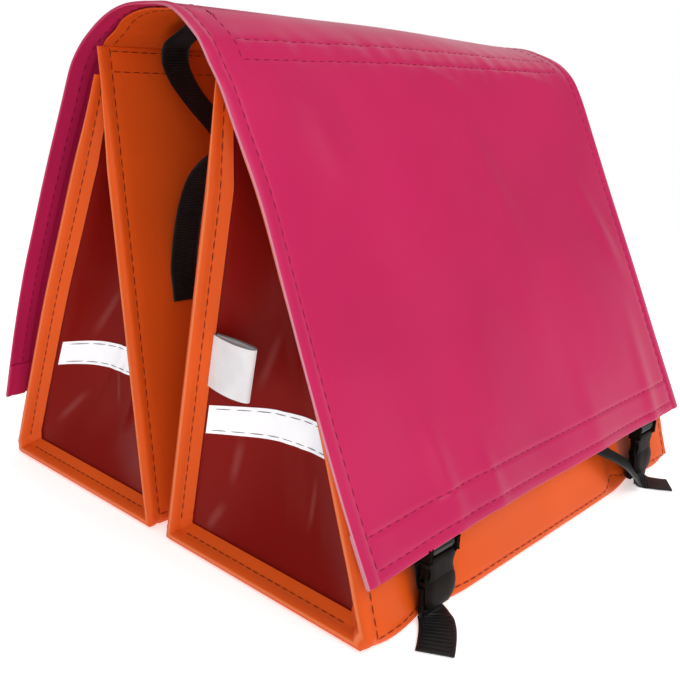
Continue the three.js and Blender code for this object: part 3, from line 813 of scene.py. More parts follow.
@cache
def flap_material():
    surface = tarpaulin("flap_tarpaulin_gloss", colours().flap, 0.29, 0.38, 0.25)
    left, _ = flap_ends()
    left += sizes().middle
    # Painted highlight: a thin pale line along the front half of the flap's near edge, in place of light
    # caught on its rolled fold
    pale = tuple(0.5 + 0.5 * channel for channel in colours().flap)
    edge = surface.ranged(surface.part("X"), left + 0.5 * MM, left - 0.2 * MM, 0.0, 0.38)
    surface.overlay(surface.times(edge, surface.ranged(surface.part("Y"), 0.02, -0.06, 0.0, 1.0)), pale)
    return surface.material


@cache
def shell_material():
    surface = tarpaulin("shell_tarpaulin_gloss", colours().shell, 0.34, 0.46, 0.11)
    # Painted highlight: a thin pale strip on the outermost crown of the rolled seams at the bags' near end,
    # in place of light caught on the roll
    fold = sizes().middle - half_length()
    edge = surface.ranged(surface.part("X"), fold - 0.9 * MM, fold - 1.6 * MM, 0.0, 0.5)
    surface.overlay(edge, (0.95, 0.36, 0.15))
    return surface.material


# Painted highlights along the gussets' soft creases, where light glints: two points (y, z) and half a width
GUSSET_HIGHLIGHT_STREAKS = (((110, 170), (140, 114), 3.36), ((142, 71), (172, 33), 4.48), ((117, 100), (104, 62), 3.08),
                  ((-80, 178), (-66, 122), 3.64), ((-60, 94), (-55, 50), 4.48), ((-54, 42), (-40, 14), 5.6),
                  ((-120, 80), (-128, 40), 3.08))


@cache
def gusset_material():
    surface = tarpaulin("gusset_tarpaulin_gloss", colours().gusset, 0.29, 0.35, 0.07)
    # Painted highlight: pale streaks laid over the colour where the creases catch light
    for start, stop, width in GUSSET_HIGHLIGHT_STREAKS:
        surface.overlay(surface.streak(start, stop, width * MM, 0.15), (0.5, 0.2, 0.18))
    return surface.material


def tape_material():
    surface = Surface("reflective_tape_silver", colours().tape, 0.3)
    surface.mottle(surface.noise(30, 3), shade(colours().tape, 0.9), shade(colours().tape, 1.05))
    # Painted reflection: a cool bluish tint over the outer part of the front bags' tapes
    surface.overlay(surface.ranged(surface.part("Y"), -0.105, -0.135, 0.0, 0.8), (0.36, 0.36, 0.52))
    surface.rough(surface.noise(60, 3), 0.29, 0.4)
    surface.bump(surface.bands("DIAGONAL", 120), 0.12, 0.1 * MM)
    surface.bump(surface.noise(160, 2, (1, 1, 0.2)), 0.25, 0.3 * MM)
    # The emission is a painted glow that brightens the tape in place of its strong reflection
    surface.fix({"Coat Weight": 0.4, "Emission Color": (0.97, 0.97, 1.0, 1), "Emission Strength": 0.3})
    return surface.material


def label_material():
    surface = Surface("label_ribbon_woven", colours().label, 0.62, 0.35)
    surface.mottle(surface.noise(45, 3), shade(colours().label, 0.93), shade(colours().label, 1.04))
    surface.bump(surface.bands("Z", 320), 0.25, 0.1 * MM)
    surface.bump(surface.bands("Y", 320), 0.2, 0.1 * MM)
    edge = sizes().label_top
    rim = surface.ranged(surface.part("Z"), edge - 0.9 * MM, edge - 0.6 * MM, 0.0, 0.85)
    surface.overlay(rim, (0.06, 0.06, 0.06))
    surface.fix({"Sheen Weight": 0.2})
    return surface.material


@cache
def webbing_material():
    surface = Surface("webbing_black", colours().webbing, 0.48, 0.32)
    surface.mottle(surface.noise(120, 3), shade(colours().webbing, 0.6), shade(colours().webbing, 1.3))
    surface.bump(surface.noise(900, 3, (1, 1, 0.4)), 0.5, 0.2 * MM)
    surface.bump(surface.bands("X", 420), 0.35, 0.15 * MM)
    surface.fix({"Sheen Weight": 0.02})
    return surface.material


@cache
def buckle_material():
    surface = Surface("buckle_plastic_satin", colours().buckle, 0.45, 0.05)
    surface.mottle(surface.noise(60, 3), shade(colours().buckle, 0.8), shade(colours().buckle, 1.5))
    surface.rough(surface.noise(140, 4), 0.4, 0.52)
    surface.bump(surface.noise(1400, 2), 0.12, 0.05 * MM)
    return surface.material


def thread_material(name, colour):
    surface = Surface(name, colour, 0.55, 0.15)
    surface.mottle(surface.noise(300, 2), shade(colour, 0.75), shade(colour, 1.3))
    surface.bump(surface.noise(1500, 2), 0.4, 0.1 * MM)
    return surface.material


# Buckles, in millimetres; a socket's row is up, and the shares of its half width and half thickness
BUCKLE_MIDDLE = 210.5
BUCKLE_TOP = 55.8
BAR_FOOT = 52.2
WINDOW_FOOT = 48.3
WINDOW_HALF = 13.3
SOCKET_ROWS = ((28, 0.9, 0.86), (28.7, 0.93, 0.95), (30, 0.97, 1.0), (32, 1.0, 1.0), (33.4, 0.99, 1.0),
               (35, 0.93, 1.0), (37.5, 0.88, 1.0), (40, 0.9, 1.0), (42, 0.97, 1.0), (43.2, 1.0, 1.0),
               (45.5, 1.0, 0.98), (47.2, 0.99, 0.9), (48.3, 0.97, 0.72))
SOCKET_AROUND = 48
SIDE_OPENING = (32.2, 43.3)
TONGUE_HALF = 2.6
PLUG_COLUMNS = (TONGUE_HALF, 6.4, 10.6, WINDOW_HALF, 16)
LOWER_SLOT = (11, 15.5)
UPPER_SLOT = (19, 23.5)
PLUG_SHOULDER = 27.5
TONGUE_TOP = 42.5
PLUG_ROWS = (7, *LOWER_SLOT, *UPPER_SLOT, PLUG_SHOULDER, 34, TONGUE_TOP, 44)


def buckle_place(side, x, across, out, up):
    """A point of a buckle: across it, out of its middle towards the viewer of its face, and up."""
    return place(side, (x + across) * MM, (BUCKLE_MIDDLE + out) * MM, up * MM)


def beveled_block(bm, low, high, put, bevel):
    """A block between two corners with rounded edges, placed by put."""
    made = bmesh.ops.create_cube(bm, size=1.0)["verts"]
    for vertex in made:
        share = vertex.co + Vector((0.5, 0.5, 0.5))
        vertex.co = put(*(a + (b - a) * t for a, b, t in zip(low, high, share)))
    edges = list({edge for vertex in made for edge in vertex.link_edges})
    bmesh.ops.bevel(bm, geom=edges, offset=bevel * MM, affect="EDGES", segments=3, profile=0.5, material=-1)


def socket_shape(side, x):
    """The buckle's socket: a hollow body with open sides and a mouth, and a frame with the webbing bar."""
    half_width, half_thick = sizes().buckle_width / MM / 2, 4.6

    def put(across, out, up):
        return buckle_place(side, x, across, out, up)

    def ring(turn, row):
        up, wide, thick = row
        angle = 2 * math.pi * turn / SOCKET_AROUND
        cosine, sine = math.cos(angle), math.sin(angle)
        across = half_width * wide * math.copysign(abs(cosine) ** 0.45, cosine)
        out = half_thick * thick * math.copysign(abs(sine) ** 0.6, sine)
        return put(across, out, up)

    bm = lattice(list(range(SOCKET_AROUND + 1)), SOCKET_ROWS, ring)
    bmesh.ops.remove_doubles(bm, verts=bm.verts[:], dist=0.01 * MM)
    middle_x = put(0, 0, 0).x
    openings = []
    for face in bm.faces:
        centre = face.calc_center_median()
        beside = abs(centre.x - middle_x) / MM > 10.4
        open_here = abs(abs(centre.y) / MM - BUCKLE_MIDDLE) < 3.6
        if beside and open_here and SIDE_OPENING[0] < centre.z / MM < SIDE_OPENING[1]:
            openings.append(face)
    bmesh.ops.delete(bm, geom=openings, context="FACES")
    top = (WINDOW_FOOT - 0.3) * MM
    rim = [edge for edge in bm.edges if edge.is_boundary and min(v.co.z for v in edge.verts) > top]
    bmesh.ops.holes_fill(bm, edges=rim, sides=0)
    bmesh.ops.recalc_face_normals(bm, faces=bm.faces[:])
    bmesh.ops.solidify(bm, geom=bm.faces[:], thickness=1.5 * MM)
    bmesh.ops.recalc_face_normals(bm, faces=bm.faces[:])
    for hand in (-1, 1):
        low, high = sorted((hand * WINDOW_HALF, hand * (half_width - 0.1)))
        beveled_block(bm, (low, -3.9, WINDOW_FOOT - 1.6), (high, 3.9, BUCKLE_TOP), put, 1.1)
    beveled_block(bm, (-half_width + 1.2, -1.7, BAR_FOOT), (half_width - 1.2, 1.7, BUCKLE_TOP), put, 1.0)
    add_cover(bm, side, x)
    return bm


def plug_shape(side, x):
    """The plug: a plate with two slots for the strap, a tongue and two sprung arms."""

    def put(across, up):
        if up >= 34 and abs(across) > 10:
            across += math.copysign(3.6 if up < 40 else 1.4, across)
        return buckle_place(side, x, across * (0.93 if up < 9 else 1.0), 0, up)

    bm = lattice([*(-at for at in reversed(PLUG_COLUMNS)), *PLUG_COLUMNS], PLUG_ROWS, put)
    middle_x = buckle_place(side, x, 0, 0, 0).x
    openings = []
    for face in bm.faces:
        centre = face.calc_center_median()
        across, up = abs(centre.x - middle_x) / MM, centre.z / MM
        slotted = any(low < up < high for low, high in (LOWER_SLOT, UPPER_SLOT))
        in_slot = slotted and across < WINDOW_HALF - 0.8
        beside_arm = across > 13 or TONGUE_HALF < across < 6.2
        over_tongue = across < TONGUE_HALF and up > TONGUE_TOP
        if in_slot or (up > PLUG_SHOULDER and (beside_arm or over_tongue)):
            openings.append(face)
    bmesh.ops.delete(bm, geom=openings, context="FACES")
    thickened(bm, 4.2 * MM)
    edges = [edge for edge in bm.edges if len(edge.link_faces) == 2 and edge.calc_face_angle() > 0.9]
    bmesh.ops.bevel(bm, geom=edges, offset=0.7 * MM, affect="EDGES", segments=2, profile=0.5, material=-1)
    return bm


# The face's lower half: up, half width, and out of the buckle's middle
COVER_ROWS = ((34, 14.6, 3.4), (31.5, 15.6, 4.5), (28, 16.3, 5.6), (24, 16.6, 6.2), (20, 16.4, 6.4),
              (17, 15.4, 6.3), (14.5, 13.8, 6.0), (12.5, 12.4, 5.5), (11.4, 11.6, 4.7))


def add_cover(bm, side, x):
    """The socket's smooth face in front of the plug's slots, which narrows downwards."""

    def dome(share, row):
        up, half_width, middle = row
        out = middle - 0.5 * share * share - 2.2 * abs(share) ** 7
        return buckle_place(side, x, share * half_width, out, up)

    merge(bm, thickened(lattice(spread(-1, 1, 0.1), COVER_ROWS, dome), 1.3 * MM))


# Sewing


def stitch_template():
    """One stitch of unit size, along z."""
    made = bpy.data.meshes.get("stitch")
    if made:
        return made
    bm = bmesh.new()
    bmesh.ops.create_uvsphere(bm, u_segments=6, v_segments=4, radius=1.0)
    made = bpy.data.meshes.new("stitch")
    bm.to_mesh(made)
    bm.free()
    return made


def sew(bm, length, frame_at, pitch=None, fill=0.62):
    """Lays stitches along a line; frame_at gives the surface point and the direction out of it."""
    s = sizes()
    template = stitch_template()
    pitch = pitch or s.stitch_pitch
    count = max(round(length / pitch), 1)
    reach = fill * pitch
    for i in range(count):
        at = (i + 0.5) * length / count
        start, out = frame_at(at - reach / 2)
        stop, _ = frame_at(at + reach / 2)
        along = stop - start
        beside = along.cross(out).normalized()
        up = beside.cross(along).normalized()
        turn = Matrix((beside * (s.thread * 0.55), up * (s.thread * 0.4), along * 0.5)).transposed()
        matrix = Matrix.Translation((start + stop) / 2 + up * (s.thread * 0.12)) @ turn.to_4x4()
        template.transform(matrix)
        bm.from_mesh(template)
        template.transform(matrix.inverted())


def flap_sewing():
    """The flap's side seams, hems, shoulder seams and the ends of its crest panel, seen on both faces."""
    bm = bmesh.new()
    left, right = flap_ends()
    above = sizes().flap_cloth / 2
    below = above + FOLD_DROP

    def on_flap(x, distance):
        point, out = flap_frame(x, distance)
        return point + out * above, out

    def under_flap(x, distance):
        point, out = flap_frame(x, distance)
        return point - out * below, -out

    length = FLAP_ROUTE.length
    lower = HEM_LINES[0]
    start, stop = flap_side_lines()
    first, last = left + CREST_END_LINE, right - CREST_END_LINE
    for face in (on_flap, under_flap):
        for x in (start, stop):
            sew(bm, length - 2 * lower, lambda at, x=x: face(x, lower + at))
        for distance in (at for line in HEM_LINES for at in (line, length - line)):
            sew(bm, stop - start, lambda at, distance=distance: face(start + at, distance))
    for distance in SHOULDERS:
        sew(bm, last - first, lambda at, distance=distance: on_flap(first + at, distance))
    for x in (first, last):
        sew(bm, SHOULDERS[3] - SHOULDERS[0], lambda at, x=x: on_flap(x, SHOULDERS[0] + at))
    tack = SHOULDERS[1] + 26 * MM
    for lean in (-1, 1):
        sew(bm, 9 * MM, lambda at: on_flap(first - 3 * MM + at * 0.7, tack + lean * (at - 4.5 * MM)), 9 * MM)
    return bm


def shell_sewing(side):
    """The seams of one bag: along both rolled ends, and along the bottom edges."""
    bm = bmesh.new()
    end = half_length()
    corners, _ = shell_corners(side)
    raise_by = sizes().cloth / 2
    for run in RUNS:
        length = (corners[run + 1] - corners[run]).length

        def on_shell(x, inset, at, run=run, length=length):
            row = (run, at / length, math.inf, math.inf)
            point = shell_point(side, (x, inset, math.inf), row)
            ahead = shell_point(side, (x, inset, math.inf), (run, at / length + 0.004, math.inf, math.inf))
            across = Vector((1, 0, 0))
            if inset:
                inside = shell_point(side, (x - math.copysign(MM, x), inset + MM, math.inf), row)
                across = (inside - point) * math.copysign(1, x)
            out = across.cross(ahead - point).normalized() * side
            return point + out * raise_by, out

        for hand in (-1, 1):
            wall_x = hand * (end - WALL_LINE)
            flange_x = hand * (end - FLANGE_LINE + 2 * ROLL_RADIUS * math.sqrt(0.5))
            if run != BOTTOM:
                first = 0.0 if run == OUTER else SEAM_END
                sew(bm, length - SEAM_END, lambda at: on_shell(wall_x, 0.0, first + at), fill=0.8)
            sew(bm, length - 2 * SEAM_END, lambda at: on_shell(flange_x, FLANGE_LINE, SEAM_END + at),
                fill=0.8)
        lines = {OUTER: [length - BOTTOM_LINE], BOTTOM: [],
                 INNER: [BOTTOM_LINE, length - 3 * MM, length - 17 * MM]}[run]
        reach = 2 * (end - WALL_LINE)
        for line in lines:
            sew(bm, reach, lambda at: on_shell(at - reach / 2, 0.0, line), fill=0.8)
    return bm


def tape_sewing():
    """Grey stitches along both edges of each reflective tape."""
    bm = bmesh.new()
    half = sizes().tape_height / 2 - TAPE_LINE
    lift = TAPE_LIFT + TAPE_THICKNESS / 2
    for side in SIDES.values():
        for end in ENDS.values():
            for z in (sizes().tape_middle - half, sizes().tape_middle + half):
                inner, outer = gusset_edges(side, z)

                def on_tape(at, z=z, width=outer - inner):
                    across = at / width * 2 - TAPE_SEWN
                    return gusset_point(side, end, across, z, lift), Vector((end, 0, 0))

                sew(bm, (outer - inner) * TAPE_SEWN, on_tape, TAPE_PITCH, 0.85)
    return bm


def bridge_sewing():
    """The hem seams along the bridge's two ends, seen from below."""
    bm = bmesh.new()
    route = bridge_route()

    def under_bridge(x, at):
        point, out = bridge_frame(route, x, at)
        return point - out * (sizes().cloth / 2), -out

    length = route.length - 2 * BRIDGE_SEAM_END
    for x in bridge_lines():
        sew(bm, length, lambda at: under_bridge(x, BRIDGE_SEAM_END + at), fill=0.8)
    return bm


# The bridge lies close under the flap over the rack, then turns down onto the inner walls
BRIDGE_SHORT = 4 * MM
BRIDGE_CUT = 12 * MM
BRIDGE_HEM = 8 * MM
BRIDGE_SEAM_END = 22 * MM
BRIDGE_UNDER = 1.8 * MM
BRIDGE_REACH = 44
FLANGE_IN = 1.7


def bridge_ends():
    """Both ends along x; the far one is cut back."""
    half = half_length() - BRIDGE_SHORT
    return -half, half - BRIDGE_CUT


def bridge_lines():
    start, stop = bridge_ends()
    return start + BRIDGE_HEM, stop - BRIDGE_HEM


def bridge_flange(side):
    """Down along the bag's side of an inner wall."""
    top = inner_top(side) / MM
    return [(inner_wall(z * MM) / MM + FLANGE_IN, z) for z in (top - 20, top - 10, top - 3, top)]


def bridge_route():
    """From the foot of one flange over the rack to the foot of the other."""
    arch = []
    for n in (-BRIDGE_REACH, -30, -15, 0, 15, 30, BRIDGE_REACH):
        (_, z), (along_n, along_z) = FLAP_ROUTE.at(FLAP_ROUTE.reach(n * MM))
        arch.append((n + along_z * BRIDGE_UNDER / MM, z / MM - along_n * BRIDGE_UNDER / MM))
    return Route(scaled([(-n, z) for n, z in bridge_flange(FRONT)] + arch
                        + [(n, z) for n, z in reversed(bridge_flange(BACK))]))


def bridge_frame(route, x, distance):
    """A point of the bridge, moved with the flap above it, and the direction out of it."""
    (n, z), (along_n, along_z) = route.at(distance)
    reach = BRIDGE_REACH * MM
    over = FLAP_ROUTE.reach(min(max(n, -reach), reach))
    (flap_n, flap_z), _ = FLAP_ROUTE.at(over)
    moved, flap_out = flap_frame(x, over)
    moved -= place(1, x, flap_n, flap_z) + flap_out * (1.2 * MM)
    moved *= 1 - smoothstep(reach, 1.4 * reach, abs(n))
    out = Vector((0, -along_z, along_n))
    slack = 1.6 * MM * hump(0.9 * reach, 1.4 * reach, abs(n))
    return place(1, x, n, z) + moved - out * slack, out


# Operators


class PANNIER_OT_flap(bpy.types.Operator):
    """Make the flap: one long sheet over both bags with its edges folded under"""

    bl_idname = "pannier.flap"
    bl_label = "Flap"

    def execute(self, context):
        s = sizes()
        left, right = flap_ends()
        columns = folded(left, right, s.side_hem, FOLD_DROP, FLAP_STEP, flap_side_lines())
        rows = folded(0.0, FLAP_ROUTE.length, s.end_hem, FOLD_DROP, FLAP_STEP, flap_cross_lines())
        frames = {}

        def point(column, row):
            (x, x_drop), (distance, drop) = column, row
            if (x, distance) not in frames:
                frames[x, distance] = flap_frame(x, distance)
            middle, out = frames[x, distance]
            return middle - out * (x_drop + drop)

        bm = thickened(lattice(columns, rows, point), s.flap_cloth)
        least, most = left + s.middle - s.flap_cloth / 2, right + s.middle + s.flap_cloth / 2
        for vertex in bm.verts:
            vertex.co.x = min(max(vertex.co.x, least), most)
        piece = add_piece("flap_cloth", "flap", bm, flap_material())
        return {"FINISHED"}


class PANNIER_OT_bridge(bpy.types.Operator):
    """Make the bridge that sits on the luggage rack and joins the bags"""

    bl_idname = "pannier.bridge"
    bl_label = "Bridge"

    def execute(self, context):
        route = bridge_route()
        columns = stations(*bridge_ends(), 6 * MM, bridge_lines())
        rows = stations(0.0, route.length, 4 * MM)
        bm = lattice(columns, rows, lambda x, at: bridge_frame(route, x, at)[0])
        piece = add_piece("bridge_cloth", "bridge", thickened(bm, sizes().cloth),
                          shell_material())
        return {"FINISHED"}


class PANNIER_OT_shells(bpy.types.Operator):
    """Make both bags' shells: outer wall, bottom and inner wall, with rolled ends"""

    bl_idname = "pannier.shells"
    bl_label = "Bag shells"

    def execute(self, context):
        prepare_shells()
        columns = shell_columns()
        for name, side in SIDES.items():
            bm = lattice(columns, shell_rows(side), lambda column, row: shell_point(side, column, row))
            piece = add_piece(f"{name}_bag_cloth", f"{name}_bag_shell",
                              thickened(bm, sizes().cloth), shell_material())
            flat = (sizes().bag_length + 2 * ROLLED_IN, path_length(shell_corners(side)[0]))
        return {"FINISHED"}


class PANNIER_OT_gussets(bpy.types.Operator):
    """Make the four dished end gussets"""

    bl_idname = "pannier.gussets"
    bl_label = "Gussets"

    def execute(self, context):
        s = sizes()
        columns = [-1.2, *spread(-1, 1, 1 / 16), 1.2]
        foot = gusset_foot(FLANGE_EDGE)
        rows = [gusset_foot(TUCK_INSET), *spread(foot - 6 * MM, s.gusset_top, 4.5 * MM)]
        for name, side in SIDES.items():
            for hand, end in ENDS.items():
                node = f"{name}_{hand}_gusset"
                bm = lattice(columns, rows, lambda across, z: gusset_point(side, end, across, z))
                area = sum(face.calc_area() for face in bm.faces)
                flat = (path_length(gusset_point(side, end, across, DISH_RISE) for across in columns),
                        path_length(gusset_point(side, end, 0, z) for z in rows))
                piece = add_piece(f"{node}_cloth", node, thickened(bm, s.cloth),
                                  gusset_material())
        return {"FINISHED"}


class PANNIER_OT_tapes(bpy.types.Operator):
    """Make the reflective tapes across the gussets"""

    bl_idname = "pannier.tapes"
    bl_label = "Reflective tapes"

    def execute(self, context):
        s = sizes()
        material = tape_material()
        columns = spread(-0.97, 0.97, 1 / 20)
        rows = spread(s.tape_middle - s.tape_height / 2, s.tape_middle + s.tape_height / 2, 3 * MM)
        for name, side in SIDES.items():
            for hand, end in ENDS.items():
                node = f"{name}_{hand}_reflective_tape"
                bm = lattice(columns, rows, lambda across, z: gusset_point(side, end, across, z, TAPE_LIFT))
                piece = add_piece(f"{node}_strip", node, thickened(bm, TAPE_THICKNESS),
                                  material)
                length = path_length(gusset_point(side, end, across, s.tape_middle) for across in columns)
        return {"FINISHED"}


class PANNIER_OT_label(bpy.types.Operator):
    """Make the folded label, left bare"""

    bl_idname = "pannier.label"
    bl_label = "Label"

    def execute(self, context):
        s = sizes()
        route = Route(scaled(LABEL_LOOP))
        columns = spread(0.0, route.length, 1.6 * MM)
        rows = spread(s.label_foot, s.label_top, 4 * MM)

        def point(distance, z):
            (reach, back), _ = route.at(distance)
            return place(FRONT, back - half_length(), gusset_edges(FRONT, z)[0] + reach, z)

        bm = thickened(lattice(columns, rows, point), LABEL_THICKNESS)
        piece = add_piece("label_ribbon_loop", "label", bm, label_material())
        return {"FINISHED"}


class PANNIER_OT_rack_loops(bpy.types.Operator):
    """Make the slack webbing loops that tie the pannier to the rack"""

    bl_idname = "pannier.rack_loops"
    bl_label = "Rack loops"

    def execute(self, context):
        layers = (sizes().cloth + sizes().webbing_thickness) / 2
        bridge = bridge_route()
        for hand, end in ENDS.items():
            x = end * RACK_LOOP_X * MM
            start = []
            for n in (-24, -11, 2):
                point, out = bridge_frame(bridge, x, bridge.reach(n * MM))
                point -= out * (layers + 0.5 * MM)
                start.append((point.y, point.z))
            wall = [(inner_wall(z * MM) - layers - 1.5 * MM, z * MM) for z in (194, 182, 170)]
            route = Route(start + scaled(RACK_LOOP_ROUTE) + wall)
            bm = band(BACK, route, lambda n, z: x)
            add_piece(f"{hand}_rack_loop_web", f"{hand}_rack_loop", bm, webbing_material())
        return {"FINISHED"}


class PANNIER_OT_flap_loops(bpy.types.Operator):
    """Make the webbing loops under the flap's hems that carry the buckles"""

    bl_idname = "pannier.flap_loops"
    bl_label = "Flap loops"

    def route(self, side, x):
        """Down under the flap's hem, round the socket's bar and up again, one layer on the other."""
        def on_flap(reach, depth):
            point, out = flap_frame(x, reach * MM if side == FRONT else FLAP_ROUTE.length - reach * MM)
            point -= out * (depth * MM)
            return side * point.y / MM, point.z / MM

        upper, lower = 2.9, 5.0
        bar, turn, drop = (BUCKLE_TOP + BAR_FOOT) / 2, 3.3, BAR_FOOT - 1.7
        return Route(scaled([
            on_flap(34, upper), on_flap(14, upper), on_flap(5, upper),
            (BUCKLE_MIDDLE + turn, bar), (BUCKLE_MIDDLE + turn - 0.45, drop + 0.9), (BUCKLE_MIDDLE, drop),
            (BUCKLE_MIDDLE - turn + 0.45, drop + 0.9), (BUCKLE_MIDDLE - turn, bar),
            on_flap(7, lower + 0.4), on_flap(14, lower), on_flap(34, lower)]))

    def execute(self, context):
        for name, (side, x, _, _) in CLOSURES.items():
            bm = band(side, self.route(side, x * MM), lambda n, z: x * MM)
            add_piece(f"{name}_flap_loop_web", f"{name}_flap_loop", bm, webbing_material())
        return {"FINISHED"}


class PANNIER_OT_bag_straps(bpy.types.Operator):
    """Make the straps that are sewn to the bags and threaded through the buckles"""

    bl_idname = "pannier.bag_straps"
    bl_label = "Bag straps"

    def off_wall(self, side, x, z):
        """How far out a strap lies that rests on the bag's outer wall."""
        s = sizes()
        gap = 1.6 * MM + (s.cloth + s.webbing_thickness) / 2 * math.hypot(1, s.outer_slope)
        return outer_wall(z) + belly(side, x, z) + billow(OUTER, 1 - z / mouth(side), x) + gap

    def upright(self, side, x):
        """From the seam down the wall, then taut towards the plug."""
        plug_n, plug_z = STRAP_ROUTE[0]
        wall = []
        for z in (112, 98, 86, 72, 58, 44, 33):
            n = self.off_wall(side, x * MM, z * MM)
            taut = (plug_n - (z - plug_z) / 3.2) * MM
            wall.append((max(n, taut) if z < 86 else n, z * MM))
        return wall

    def slanting(self, side, x, sewn_off):
        """From a seam beside the buckle down across the wall to the plug, with the face turned upwards."""
        def x_at(_, z):
            return (x + max(-9 - 1.5 * (z / MM - SLANT_FOOT), sewn_off)) * MM

        def turn_at(z):
            return SLANT_TURN * (1 - smoothstep(30 * MM, 85 * MM, z))

        route = []
        for z in (112, 98, 86, 72, 58, 44, 33, 22, SLANT_FOOT):
            clear = SLANT_CLEAR * math.sin(turn_at(z * MM))
            route.append((self.off_wall(side, x_at(0, z * MM), z * MM) + clear, z * MM))
        return band(side, Route(route), x_at, turn_at)

    def execute(self, context):
        for name, (side, x, sway, sewn_off) in CLOSURES.items():
            end = SLANT_ROUTE if sewn_off else STRAP_ROUTE

            def x_at(n, z):
                out = max(n / MM - BUCKLE_MIDDLE, 0.0) if z < 9 * MM else 0.0
                return (x + sway * (out / (end[-1][0] - BUCKLE_MIDDLE)) ** 1.4) * MM

            wall = [] if sewn_off else self.upright(side, x)
            bm = band(side, Route(wall + scaled(end)), x_at)
            if sewn_off:
                merge(bm, self.slanting(side, x, sewn_off))
            add_piece(f"{name}_bag_strap_web", f"{name}_bag_strap", bm, webbing_material())
        return {"FINISHED"}


class PANNIER_OT_buckles(bpy.types.Operator):
    """Make the side-release buckles, a socket and a plug each"""

    bl_idname = "pannier.buckles"
    bl_label = "Buckles"

    def execute(self, context):
        material = buckle_material()
        for name, (side, x, _, _) in CLOSURES.items():
            for part, shape in (("socket", socket_shape), ("plug", plug_shape)):
                add_piece(f"{name}_buckle_{part}_body", f"{name}_buckle_{part}",
                          shape(side, x), material, 30)
        return {"FINISHED"}


class PANNIER_OT_sewing(bpy.types.Operator):
    """Sew the pieces: stitches along every hem and seam"""

    bl_idname = "pannier.sewing"
    bl_label = "Sewing"

    def execute(self, context):
        prepare_shells()
        shell_thread = thread_material("shell_thread_red", colours().shell_thread)
        flap_thread = thread_material("flap_thread_magenta", colours().flap_thread)
        tape_thread = thread_material("tape_thread_grey", colours().tape_thread)
        add_piece("flap_stitches", None, flap_sewing(), flap_thread)
        for name, side in SIDES.items():
            add_piece(f"{name}_bag_stitches", None, shell_sewing(side), shell_thread)
        add_piece("bridge_stitches", None, bridge_sewing(), shell_thread)
        add_piece("tape_stitches", None, tape_sewing(), tape_thread)
        return {"FINISHED"}


# The camera stands where the photograph was taken from: place, turn, tilt down, roll, focal length
CAMERA_PLACE = (-0.59696, -0.50681, 0.34804)
CAMERA_YAW = 41.238
CAMERA_PITCH = 16.592
CAMERA_ROLL = -3.067
CAMERA_LENS = 48.25
FLOOR_HALF = 1.6
LIGHT_AIM = Vector((0, 0, 0.18))
# Area lights: place, width and power
LIGHTS = {
    "key": ((0.15, -2.3, 2.4), 2.0, 46),
    "top": ((-0.3, 0.3, 2.8), 2.4, 28),
    "fill": ((-1.8, -1.9, 1.2), 1.8, 26),
    "side": ((1.9, 0.9, 1.5), 1.8, 6),
}


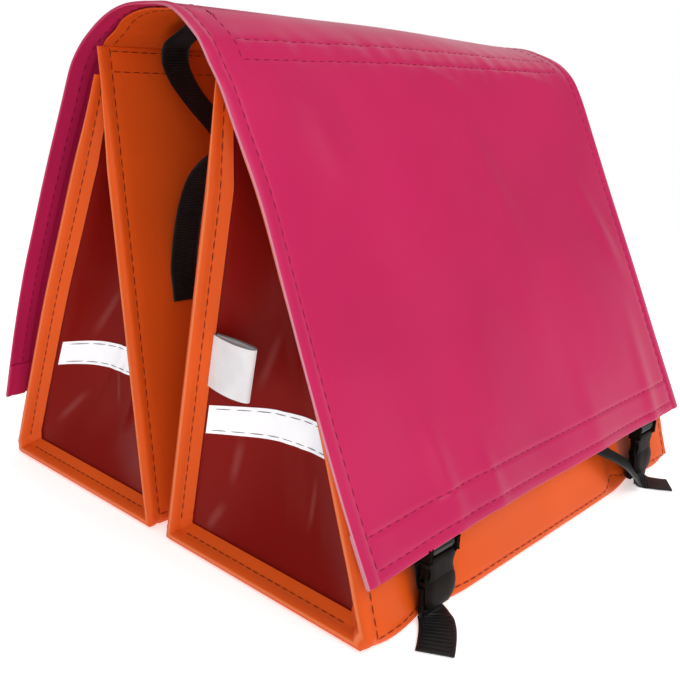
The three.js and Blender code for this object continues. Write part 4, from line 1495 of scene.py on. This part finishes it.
class PANNIER_OT_stage(bpy.types.Operator):
    """Set the stage: pale floor, soft lights and the camera"""

    bl_idname = "pannier.stage"
    bl_label = "Stage"

    def execute(self, context):
        self.add_floor()
        self.add_lights()
        self.add_camera()
        return {"FINISHED"}

    def add_floor(self):
        bm = bmesh.new()
        bmesh.ops.create_grid(bm, x_segments=1, y_segments=1, size=FLOOR_HALF)
        mesh = bpy.data.meshes.new("floor")
        bm.to_mesh(mesh)
        bm.free()
        surface = Surface("studio_floor", colours().floor, 0.8, 0.1)
        surface.fix({"Emission Color": (1, 1, 1, 1), "Emission Strength": 0.5})
        mesh.materials.append(surface.material)
        floor = bpy.data.objects.new("floor", mesh)
        bpy.context.scene.collection.objects.link(floor)

    def add_lights(self):
        for name, (spot, width, power) in LIGHTS.items():
            light = bpy.data.lights.new(name, "AREA")
            light.shape = "SQUARE"
            light.size = width
            light.energy = power
            lamp = bpy.data.objects.new(name, light)
            lamp.location = spot
            aim = LIGHT_AIM - Vector(spot)
            lamp.rotation_euler = aim.to_track_quat("-Z", "Y").to_euler()
            bpy.context.scene.collection.objects.link(lamp)
        world = bpy.data.worlds.new("studio")
        world.use_nodes = True
        nodes, links = world.node_tree.nodes, world.node_tree.links
        direction = nodes.new("ShaderNodeTexCoord")
        parts = nodes.new("ShaderNodeSeparateXYZ")
        ramp = nodes.new("ShaderNodeValToRGB")
        ramp.color_ramp.elements[0].position = 0.08
        ramp.color_ramp.elements[0].color = (1, 1, 1, 1)
        ramp.color_ramp.elements[1].position = 0.2
        ramp.color_ramp.elements[1].color = (0.16, 0.16, 0.16, 1)
        links.new(direction.outputs["Generated"], parts.inputs["Vector"])
        links.new(parts.outputs["Z"], ramp.inputs["Fac"])
        links.new(ramp.outputs["Color"], nodes["Background"].inputs["Color"])
        bpy.context.scene.world = world
        bpy.context.scene.view_settings.view_transform = "Standard"

    def add_camera(self):
        yaw, pitch, roll = (math.radians(a) for a in (CAMERA_YAW, CAMERA_PITCH, CAMERA_ROLL))
        forward = Vector((math.cos(yaw) * math.cos(pitch), math.sin(yaw) * math.cos(pitch), -math.sin(pitch)))
        level = Vector((math.sin(yaw), -math.cos(yaw), 0))
        down = forward.cross(level)
        right = level * math.cos(roll) + down * math.sin(roll)
        up = level * math.sin(roll) - down * math.cos(roll)
        data = bpy.data.cameras.new("photo_camera")
        data.sensor_width = 36
        data.lens = CAMERA_LENS
        data.clip_start = 0.01
        camera = bpy.data.objects.new("photo_camera", data)
        turn = Matrix((right, up, -forward)).transposed().to_4x4()
        camera.matrix_world = Matrix.Translation(CAMERA_PLACE) @ turn
        bpy.context.scene.collection.objects.link(camera)
        bpy.context.scene.camera = camera


OPERATORS = (PANNIER_OT_flap, PANNIER_OT_bridge, PANNIER_OT_shells, PANNIER_OT_gussets, PANNIER_OT_tapes,
             PANNIER_OT_label, PANNIER_OT_rack_loops, PANNIER_OT_flap_loops, PANNIER_OT_bag_straps,
             PANNIER_OT_buckles, PANNIER_OT_sewing, PANNIER_OT_stage)


class PANNIER_PT_pieces(bpy.types.Panel):
    """Lists the pannier's pieces"""

    bl_idname = "PANNIER_PT_pieces"
    bl_label = "Pannier"
    bl_space_type = "VIEW_3D"
    bl_region_type = "UI"
    bl_category = "Pannier"

    def draw(self, context):
        for operator in OPERATORS:
            self.layout.operator(operator.bl_idname)


CLASSES = (PannierSizes, PannierColours, *OPERATORS, PANNIER_PT_pieces)


def register():
    for cls in CLASSES:
        bpy.utils.register_class(cls)
    bpy.types.Scene.pannier_sizes = PointerProperty(type=PannierSizes)
    bpy.types.Scene.pannier_colours = PointerProperty(type=PannierColours)


def unregister():
    del bpy.types.Scene.pannier_colours
    del bpy.types.Scene.pannier_sizes
    for cls in reversed(CLASSES):
        bpy.utils.unregister_class(cls)


def main():
    register()
    for operator in OPERATORS:
        group, name = operator.bl_idname.split(".")
        getattr(getattr(bpy.ops, group), name)()


if __name__ == "__main__":
    main()
